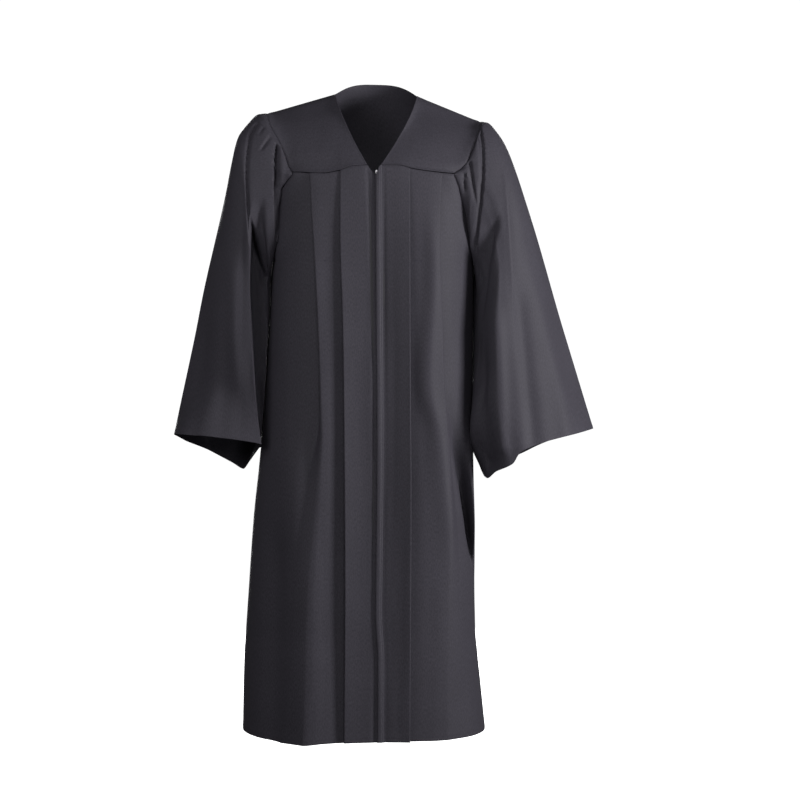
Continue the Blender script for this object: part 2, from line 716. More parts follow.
# fronts: two knife pleats each, pressed outwards
# a pleat's edge, how far its cloth tucks under and lies in, how far it lifts, and the radius of its bends
pleatNames = "down edge tuck rise lift bend"
fronts = {
    "pleats": {
        rightSide: (
            table(
                pleatNames,
                (0.160, 0.0685, 0.032, 0.0030, 0.000, 0.0007),
                (0.270, 0.0683, 0.032, 0.0090, 0.004, 0.0007),
                (0.470, 0.0620, 0.031, 0.0140, 0.009, 0.0008),
                (0.680, 0.0594, 0.030, 0.0160, 0.010, 0.0010),
                (0.960, 0.0580, 0.030, 0.0170, 0.007, 0.0012),
                (1.275, 0.0600, 0.030, 0.0100, 0.003, 0.0012),
            ),
            table(
                pleatNames,
                (0.160, 0.1290, 0.026, 0.0030, 0.000, 0.0007),
                (0.230, 0.1245, 0.026, 0.0070, 0.003, 0.0008),
                (0.320, 0.1175, 0.024, 0.0130, 0.007, 0.0012),
                (0.450, 0.1110, 0.017, 0.0160, 0.008, 0.0018),
                (0.600, 0.1070, -0.002, 0.0170, 0.008, 0.0036),
                (0.770, 0.1130, -0.034, 0.0120, 0.005, 0.0200),
                (1.000, 0.1300, -0.050, 0.0070, 0.002, 0.0700),
                (1.275, 0.1380, -0.060, 0.0010, 0.000, 0.2500),
            ),
        ),
        leftSide: (
            table(
                pleatNames,
                (0.160, 0.0674, 0.032, 0.0030, 0.000, 0.0007),
                (0.220, 0.0668, 0.032, 0.0075, 0.004, 0.0007),
                (0.300, 0.0660, 0.032, 0.0170, 0.012, 0.0008),
                (0.470, 0.0655, 0.031, 0.0270, 0.018, 0.0009),
                (0.700, 0.0660, 0.030, 0.0330, 0.020, 0.0010),
                (0.960, 0.0675, 0.030, 0.0240, 0.016, 0.0010),
                (1.275, 0.0666, 0.030, 0.0160, 0.010, 0.0010),
            ),
            table(
                pleatNames,
                (0.160, 0.1308, 0.022, 0.0030, 0.000, 0.0007),
                (0.220, 0.1265, 0.022, 0.0045, 0.001, 0.0008),
                (0.340, 0.1250, 0.021, 0.0080, 0.002, 0.0011),
                (0.450, 0.1300, 0.016, 0.0100, 0.003, 0.0015),
                (0.560, 0.1330, 0.005, 0.0120, 0.004, 0.0026),
                (0.690, 0.1420, -0.010, 0.0120, 0.003, 0.0045),
                (0.850, 0.1450, -0.024, 0.0060, 0.001, 0.0200),
                (1.275, 0.1420, -0.040, 0.0005, 0.000, 0.1000),
            ),
        ),
    },
    "ease": 1.2,                # how soon a panel comes forward again beside a pleat
    "swell": (1.6, 1.2),        # how late the first and second panels swell towards the next pleat's edge
    "columns": (46, 44, 52),
    "bendSteps": 5,
    "levels": (72, 144),
    "folds": {
        rightSide: [
            fall([(-0.152, 0.620), (-0.150, 0.820), (-0.144, 1.060), (-0.140, 1.290)], 0.042, -0.0115),
            fall([(-0.204, 0.800), (-0.198, 1.000), (-0.198, 1.290)], 0.030, 0.0095),
        ],
        leftSide: [
            fold([(0.106, 0.200), (0.1127, 0.373), (0.1010, 0.570), (0.1205, 0.667), (0.1320, 0.785),
                  (0.1460, 0.920), (0.1580, 1.060)], 0.017, -0.0080, start=0.15, end=0.3),
            fold([(0.112, 0.620), (0.146, 0.900), (0.176, 1.200)], 0.045, -0.006, start=0.3),
        ],
    },
    "sideFold": table(          # the deep fold at the wearer's left side, and how strong it is
        "down edge size",
        (0.600, 0.1360, 0.0),
        (0.635, 0.1396, 0.1),
        (0.681, 0.1447, 0.4),
        (0.753, 0.1549, 0.9),
        (0.806, 0.1637, 1.0),
        (0.849, 0.1715, 1.0),
        (0.900, 0.1780, 0.6),
        (0.960, 0.1850, 0.0),
    ),
    "sideDrop": (0.030, 0.006),             # how far back it drops, and within what width
    "sideRise": (0.100, 0.003, 1.7),        # how far forward it comes again, from where, and how late
    "sideFade": 0.012,          # it fades out at the side seam
    "sideEdge": 0.1915,
    "hemDeep": 0.018,
    "flat": (0.400, 1.150),
}

# the ripples of the hanging cloth
drape = {
    "ripples": (
        (0.016, 0.34, 0.00045, 7, 3),
        (0.045, 0.20, 0.0011, 5, 9),
        (0.008, 0.055, 0.00010, 2, 1),
    ),
    "frontSeed": 11,
    "backSeed": 23,
    "calm": 0.35,               # share of the ripples at the yoke, and the levels over which the rest comes
    "calmDown": 0.16,
    "calmReach": 0.25,
    "fadeDown": 0.10,           # below the armhole the folds fade out towards the side seam
    "fadeAcross": 0.025,
}

# the turned-up hems
hems = {
    "fade": 0.001,
    "proud": 0.00022,
    "turn": 0.0006,             # extra thickness inside
    "pucker": 0.00018,          # the stitched line, and how uneven it is
    "puckerChange": 0.00016,
    "puckerPitch": 0.009,
    "puckerWidth": 0.0016,
    "frontSeed": 40,
    "backSeed": 45,
    "sleeveSeed": 50,
}

# the line where the fronts meet, and the valleys beside it, measured from that line
middle = {
    "line": table(
        "down across",
        (0.150, -0.0005),
        (0.400, 0.0010),
        (0.700, 0.0030),
        (0.920, 0.0012),
        (1.020, 0.0002),
        (1.110, 0.0045),
        (1.275, 0.0040),
    ),
    "leftEdge": 0.0082,
    "edgeLeast": 0.0030,
    "valleys": {
        rightSide: table(
            "down across width depth",
            (0.150, 0.0150, 0.0050, 0.0020),
            (0.300, 0.0095, 0.0035, 0.0022),
            (0.600, 0.0060, 0.0030, 0.0020),
            (0.900, 0.0060, 0.0030, 0.0015),
            (1.050, 0.0050, 0.0030, 0.0008),
            (1.275, 0.0050, 0.0040, 0.0018),
        ),
        leftSide: table(
            "down across width depth",
            (0.150, 0.0170, 0.0040, 0.0003),
            (0.230, 0.0170, 0.0035, 0.0012),
            (0.400, 0.0165, 0.0040, 0.0018),
            (0.700, 0.0160, 0.0050, 0.0012),
            (1.000, 0.0160, 0.0040, 0.0006),
            (1.275, 0.0160, 0.0040, 0.0005),
        ),
    },
}


def middleAt(down):
    return float(read(middle["line"], "across", down))


def foldTurn(tuck, rise, bend):
    # how far a pleat's bends turn, for two equal bends joined by a straight run
    across, deep = -tuck, rise - 2 * bend
    run = math.sqrt(max(across**2 + deep**2 - 4 * bend**2, 0.0))
    return math.atan2(deep, across) + math.atan2(2 * bend, run)


def pleatedPath(pleats, columns, bendSteps, outline, start, corner):
    # cross-section of a pleated panel at one level, as distances round and inward
    around, inward = [np.array([start])], [np.zeros(1)]
    at, level, hidden = start, 0.0, 0.0
    fine, reach = fineness["centreFront"]
    for number, (rows, count) in enumerate(zip(pleats, columns)):
        edge = float(outline.atAcross(read(rows, "edge", outline.down)))
        tuck, rise, lift, bend = (
            float(read(rows, name, outline.down)) for name in ("tuck", "rise", "lift", "bend")
        )
        turn = foldTurn(tuck, rise, bend)
        begin = edge - bend * math.sin(min(turn, math.pi / 2))
        t = stops(0, 1, count + 2, fine * (number == 0), reach, atEnd=0.0)[1:-1]
        around.append(at + (begin - at) * t)
        past = np.clip((around[-1] - at - hidden) / (begin - at - hidden), 0, 1)
        if number == 0:
            past = np.clip((around[-1] - corner) / (begin - corner), 0, 1)
        inward.append(level * (1 - past) ** fronts["ease"] - lift * past ** fronts["swell"][number])
        bent = turn * np.arange(bendSteps + 1) / bendSteps
        around.append(begin + bend * np.sin(bent))
        inward.append(-lift + bend * (1 - np.cos(bent)))
        at, level, hidden = begin - tuck, rise - lift, max(tuck, 0.0)
        bent = bent[::-1]
        around.append(at - bend * np.sin(bent))
        inward.append(level - bend + bend * np.cos(bent))
    stop = outline.end - cloth["sideGap"] / 2
    t = stops(0, 1, columns[-1] + 1, *fineness["sideSeam"], atStart=0.0)[1:]
    around.append(at + (stop - at) * t)
    past = np.clip((around[-1] - at - hidden) / (outline.around[-1] - at - hidden), 0, 1)
    inward.append(level * (1 - past) ** fronts["ease"] * ease((stop - around[-1]) / body["seamReach"]))
    return np.concatenate(around), np.concatenate(inward)


def bodyLevels(side, first, counts):
    # levels of a body panel, evenly round the armhole and then down to the hem
    turns = stops(float(armholeTurn(side, first)), math.pi, counts[0], *fineness["armhole"], atEnd=0.0)
    upper = -armhole(side, turns)[:, 2]
    upper[0] = first
    under = armholes[side]["underDown"]
    lower = stops(under, body["hemDown"], counts[1] + 1, *fineness["hem"], atStart=0.0)[1:]
    return np.concatenate([upper, lower])


def unevenness(folds, seed, side, outline, around):
    # the soft folds and the ripples of a body panel at one level
    x = outline.place(around, 0.0)[:, 0]
    down = np.full_like(x, outline.down)
    come = ease((down - drape["calmDown"]) / drape["calmReach"])
    rippled = ripples(x, down, drape["ripples"], seed) * (drape["calm"] + (1 - drape["calm"]) * come)
    low = ease((outline.down - armholes[side]["underDown"]) / drape["fadeDown"])
    share = 1 - low * (1 - ease((outline.end - around) / drape["fadeAcross"]))
    return x, (foldDepth(folds, x, down) + rippled) * share


def sideFold(x, y, down):
    # how far back the deep fold at the wearer's left side carries a point of that front
    edge, size = (float(read(fronts["sideFold"], name, down)) for name in ("edge", "size"))
    (drop, within), (rise, start, late) = fronts["sideDrop"], fronts["sideRise"]
    past = np.clip((x - edge - start) / (fronts["sideEdge"] - edge), 0, 1)
    return size * (drop * ease((x - edge) / within) - rise * past**late) * ease(-y / fronts["sideFade"])


def frontGrid(side):
    grid, away = [], []
    veeEnd = yoke["vee"][side]["across"][-1]
    for down in bodyLevels(side, yoke["frontCorner"][side], fronts["levels"]):
        outline = Outline(side, frontFace, float(down))
        meet = side * middleAt(down)
        start = meet + (middle["leftEdge"] if side == leftSide else 0.0)
        corner = max(veeEnd, start + middle["edgeLeast"])
        around, inward = pleatedPath(
            fronts["pleats"][side], fronts["columns"], fronts["bendSteps"], outline, start, corner
        )
        x, uneven = unevenness(fronts["folds"][side], drape["frontSeed"], side, outline, around)
        across, width, depth = (
            float(read(middle["valleys"][side], name, down)) for name in ("across", "width", "depth")
        )
        inward = inward + uneven
        inward += depth * bump(side * (x - side * meet) - across, width)
        points = outline.place(around, inward)
        away.append(outline.place(around, inward - 1.0) - points)
        if side == leftSide:
            points[:, 1] += sideFold(points[:, 0], points[:, 1], down)
        grid.append(points)
    grid = np.array(grid)
    drawBack(grid[0], grid[1], cloth["seamGap"])
    return grid, np.array(away)


def hemShape(distance, along, deep, seed):
    # the turned-up hem: a little proud, with a puckered line where it is stitched
    inside = ease((deep + hems["fade"] - distance) / (2 * hems["fade"]))
    change = softNoise(along / hems["puckerPitch"], distance * 0, seed)
    pucker = (hems["pucker"] + hems["puckerChange"] * change) * bump(distance - deep, hems["puckerWidth"])
    return hems["proud"] * inside - pucker, hems["turn"] * inside


def makeFront(side):
    grid, away = frontGrid(side)
    far = edgeDistance(grid)
    roll = seamRoll(far["top"]) + seamRoll(far["last"])
    proud, hem = hemShape(far["bottom"], far["first"], fronts["hemDeep"], hems["frontSeed"] + side)
    grid = grid + away * (proud - roll)[..., None]
    thick = cloth["thick"] / 2 * turnedEdge(far["bottom"]) * turnedEdge(far["first"])
    return makeShell("front_" + sideNames[side] + "_cloth", grid, away, thick, thick + hem), grid, away


frontPieces = {side: makeFront(side) for side in bothSides}
print("gown: fronts cut and pleated")


# back: one panel, pleated into the yoke
back = {
    "pleats": (
        table(
            pleatNames,
            (0.140, 0.0500, 0.032, 0.0030, 0.000, 0.0007),
            (0.300, 0.0500, 0.032, 0.0050, 0.001, 0.0009),
            (0.600, 0.0520, 0.031, 0.0130, 0.003, 0.0014),
            (0.950, 0.0560, 0.029, 0.0180, 0.005, 0.0020),
            (1.275, 0.0600, 0.027, 0.0190, 0.006, 0.0022),
        ),
        table(
            pleatNames,
            (0.140, 0.1080, 0.026, 0.0030, 0.000, 0.0007),
            (0.300, 0.1100, 0.025, 0.0055, 0.001, 0.0009),
            (0.500, 0.1130, 0.016, 0.0110, 0.003, 0.0016),
            (0.680, 0.1180, 0.002, 0.0125, 0.003, 0.0030),
            (0.850, 0.1250, -0.020, 0.0080, 0.002, 0.0060),
            (1.275, 0.1300, -0.045, 0.0010, 0.000, 0.0100),
        ),
    ),
    "columns": (26, 30, 44),
    "bendSteps": 4,
    "levels": (56, 92),
    "folds": [
        fold([(-0.168, 0.420), (-0.175, 0.700), (-0.188, 1.000)], 0.030, 0.006, start=0.3),
        fall([(-0.120, 0.760), (-0.130, 1.000), (-0.142, 1.290)], 0.040, -0.007),
        fold([(0.150, 0.380), (0.146, 0.620), (0.150, 0.900)], 0.026, 0.005, start=0.3),
        fall([(0.118, 0.720), (0.134, 1.000), (0.150, 1.290)], 0.042, -0.006),
        fold([(-0.012, 0.300), (-0.006, 0.620), (0.010, 0.980)], 0.022, 0.003, start=0.3),
        fall([(0.030, 0.560), (0.022, 0.880), (0.026, 1.290)], 0.026, -0.004),
    ],
    "flat": (0.800, 1.160),
}


def backGrid():
    grid, away = [], []
    for downs in zip(*(bodyLevels(side, yoke["backSeam"], back["levels"]) for side in bothSides)):
        halves, outward = [], []
        for side, down in zip(bothSides, map(float, downs)):
            outline = Outline(side, backFace, down)
            around, inward = pleatedPath(
                back["pleats"], back["columns"], back["bendSteps"], outline, 0.0, 0.0
            )
            inward = inward + unevenness(back["folds"], drape["backSeed"], side, outline, around)[1]
            points = outline.place(around, inward)
            share = ease(np.linspace(0, 1, len(points)))
            outward.append(outline.place(around, inward - 1.0) - points)
            points[:, 2] += (down - (downs[0] + downs[1]) / 2) * (1 - share)
            halves.append(points)
        centre = (halves[0][0] + halves[1][0]) / 2
        grid.append(np.concatenate([halves[0][:0:-1], [centre], halves[1][1:]]))
        away.append(np.concatenate([outward[0][::-1], outward[1][1:]]))
    grid = np.array(grid)
    drawBack(grid[0], grid[1], cloth["seamGap"] / 2)
    return grid, np.array(away)


def makeBack():
    grid, away = backGrid()
    far = edgeDistance(grid)
    roll = seamRoll(far["top"]) + seamRoll(far["last"]) + seamRoll(far["first"])
    proud, hem = hemShape(far["bottom"], far["first"], fronts["hemDeep"], hems["backSeed"])
    grid = grid + away * (proud - roll)[..., None]
    thick = cloth["thick"] / 2 * turnedEdge(far["bottom"])
    return makeShell("back_cloth", grid, away, thick, thick + hem), grid, away


backPiece = makeBack()
print("gown: back cut and pleated")


# yokes
def coons(edges, share, along):
    # a surface between four edge curves; rows run from top to bottom
    top, bottom, first, last = edges
    u, v = along[None, :, None], share[:, None, None]
    rails = (1 - v) * top[None] + v * bottom[None] + (1 - u) * first[:, None] + u * last[:, None]
    corners = (1 - v) * ((1 - u) * top[0] + u * top[-1]) + v * ((1 - u) * bottom[0] + u * bottom[-1])
    return rails - corners


def settle(grid, bulge):
    for _ in range(yoke["relax"]):
        sides = grid[1:-1, :-2] + grid[1:-1, 2:]
        grid[1:-1, 1:-1] = (sides + grid[:-2, 1:-1] + grid[2:, 1:-1]) / 4
    u, v = np.linspace(0, math.pi, grid.shape[1]), np.linspace(0, 1, grid.shape[0])
    grid[:, :, 1] += bulge * np.sqrt(np.sin(u).clip(0))[None] * (4 * v * (1 - v))[:, None]


def yokeGrid(edges, rows, columns, along, bulge):
    # a coarse settled surface, refined, and moved so that its edges lie on their true curves
    evenRows, evenColumns = np.linspace(0, 1, rows), np.linspace(0, 1, columns)
    grid = coons(edges(evenRows, evenColumns), evenRows, evenColumns)
    settle(grid, bulge)
    share = stops(0, 1, yoke["rows"], *fineness["yokeRows"])
    grid = flowing(np.arange(rows), grid, share * (rows - 1))
    grid = np.swapaxes(flowing(np.arange(columns), np.swapaxes(grid, 0, 1), along * (columns - 1)), 0, 1)
    top, bottom, first, last = edges(share, along)
    gaps = (top - grid[0], bottom - grid[-1], first - grid[:, 0], last - grid[:, -1])
    return grid + coons(gaps, share, along)


def armTurns(side, down):
    step = 2 * math.pi / yoke["armSteps"]
    last = float(armholeTurn(side, down))
    return np.array([k * step for k in range(yoke["armSteps"]) if k * step < last - step / 3] + [last])


def frontYokeGrid(side):
    vee = yoke["vee"][side]
    turns = armTurns(side, yoke["frontCorner"][side])
    outline = Outline(side, frontFace, yoke["frontCorner"][side])

    def edges(share, along):
        steps = share * (len(turns) - 1)
        arm = armhole(side, np.interp(steps, np.arange(len(turns)), turns))
        down = vee["down"][0] + (vee["down"][-1] - vee["down"][0]) * share
        across, forward = read(vee, "across", down), read(vee, "forward", down)
        neck = np.stack([side * across, -forward, -down], axis=-1)
        begin = outline.atAcross(across[-1])
        bottom = outline.place(begin + (outline.end - begin) * along, 0.0)
        neck = neck + share[:, None] * (bottom[0] - neck[-1])
        bottom = bottom + along[:, None] * (arm[-1] - bottom[-1])
        return neck[0] + along[:, None] * (arm[0] - neck[0]), bottom, neck, arm

    along = stops(0, 1, yoke["frontColumns"], *fineness["frontYoke"])
    grid = yokeGrid(edges, len(turns), yoke["columns"], along, yoke["frontRound"])
    for edge, inner in ((grid[0], grid[1]), (grid[-1], grid[-2]), (grid[:, -1], grid[:, -2])):
        drawBack(edge, inner, cloth["seamGap"] / 2)
    return grid


def backYokeGrid():
    down = yoke["backSeam"]
    turns = {side: armTurns(side, down) for side in bothSides}
    lines = {side: Outline(side, backFace, down) for side in bothSides}
    heights = [-yoke["vee"][side]["down"][0] for side in bothSides]
    outer, inner = yoke["shoulderColumns"] - 1, yoke["neckColumns"] - 1
    total = 2 * outer + inner

    def edges(share, along):
        arms = {}
        for side in bothSides:
            steps = share * (len(turns[side]) - 1)
            arms[side] = armhole(side, -np.interp(steps, np.arange(len(turns[side])), turns[side]))
        column = along * total
        turn = math.pi * np.clip((column - outer) / inner, 0, 1)
        part = -np.cos(turn)
        height = yoke["neckRise"] * (1 - np.abs(part) ** yoke["neckFlat"]) + np.interp(part, [-1, 1], heights)
        neck = np.stack([yoke["neckHalf"] * part, yoke["neckBack"] * np.sin(turn), height], axis=-1)
        toRight = np.clip(1 - column / outer, 0, 1)[:, None]
        toLeft = np.clip((column - outer - inner) / outer, 0, 1)[:, None]
        top = neck + toRight * (arms[rightSide][0] - neck[0]) + toLeft * (arms[leftSide][0] - neck[-1])
        bottom = np.empty_like(top)
        for side, line in lines.items():
            own = side * top[:, 0] >= 0
            bottom[own] = line.place(np.abs(top[own, 0]) / armholes[side]["tipX"] * line.end, 0.0)
        bottom[:, 2] = -down
        return top, bottom, arms[rightSide], arms[leftSide]

    corners = np.array([0, outer, outer + inner, total]) / total
    along = np.concatenate([
        stops(corners[k], corners[k + 1], count, *fineness["backYoke"])[(k > 0):]
        for k, count in enumerate(yoke["backColumns"])
    ])
    grid = yokeGrid(edges, len(turns[rightSide]), total + 1, along, yoke["backRound"])
    for edge, inner in ((grid[-1], grid[-2]), (grid[:, 0], grid[:, 1]), (grid[:, -1], grid[:, -2])):
        drawBack(edge, inner, cloth["seamGap"] / 2)
    inNeck = ease((along - corners[1]) * yoke["neckFade"]) * ease((corners[2] - along) * yoke["neckFade"])
    return grid, inNeck


def yokeRelief(grid, far, seed, edges):
    # the unevenness of a yoke, away from its seams
    relief = ripples(grid[..., 0], -grid[..., 2], yoke["relief"], seed)
    for edge in edges:
        relief = relief * ease(far[edge] / yoke["seamCalm"])
    return relief


def edgeForms(far, beadEdge):
    # the lip over the pleats, and the bead along the neck
    lip = yoke["lipHeight"] * bump(far["bottom"], yoke["lipWidth"])
    return lip, yoke["edgeBead"] * bump(far[beadEdge] - yoke["beadAt"], yoke["beadWidth"])


def makeFrontYoke(side):
    grid = frontYokeGrid(side)
    far = edgeDistance(grid)
    outward = grid - np.array(yoke["frontCentre"])
    normal, _ = outwardNormals(grid, outward)
    lip, bead = edgeForms(far, "first")
    turn, width = yoke["lipTurn"]
    roll = seamRoll(far["top"]) * ease(far["last"] / yoke["rollFade"]) + seamRoll(far["last"])
    roll = roll + turn * bump(far["bottom"], width)
    relief = yokeRelief(grid, far, yoke["frontSeed"] + side, ("last", "bottom"))
    grid = grid + normal * (lip + bead + relief - roll)[..., None]
    thick = cloth["thick"] / 2 * turnedEdge(far["first"]) * turnedEdge(far["bottom"])
    inner = thick + facing(far["first"], yoke["facings"][0])
    return makeShell("yoke_front_" + sideNames[side] + "_cloth", grid, outward, thick, inner)


def makeBackYoke():
    grid, inNeck = backYokeGrid()
    far = edgeDistance(grid)
    outward = grid - np.array(yoke["backCentre"])
    normal, _ = outwardNormals(grid, outward)
    lip, bead = edgeForms(far, "top")
    ends = ease(far["first"] / yoke["rollFade"]) * ease(far["last"] / yoke["rollFade"])
    roll = seamRoll(far["top"]) * (1 - inNeck) * ends + seamRoll(far["first"]) + seamRoll(far["last"])
    relief = yokeRelief(grid, far, yoke["backSeed"], ("first", "last", "top", "bottom"))
    grid = grid + normal * (lip + bead * inNeck + relief - roll)[..., None]
    thick = cloth["thick"] / 2 * (1 - (1 - turnedEdge(far["top"])) * inNeck) * turnedEdge(far["bottom"])
    inner = thick + facing(far["top"], yoke["facings"][1]) * inNeck
    return makeShell("yoke_back_cloth", grid, outward, thick, inner)


frontYokes = {side: makeFrontYoke(side) for side in bothSides}
backYoke = makeBackYoke()
print("gown: yokes shaped")


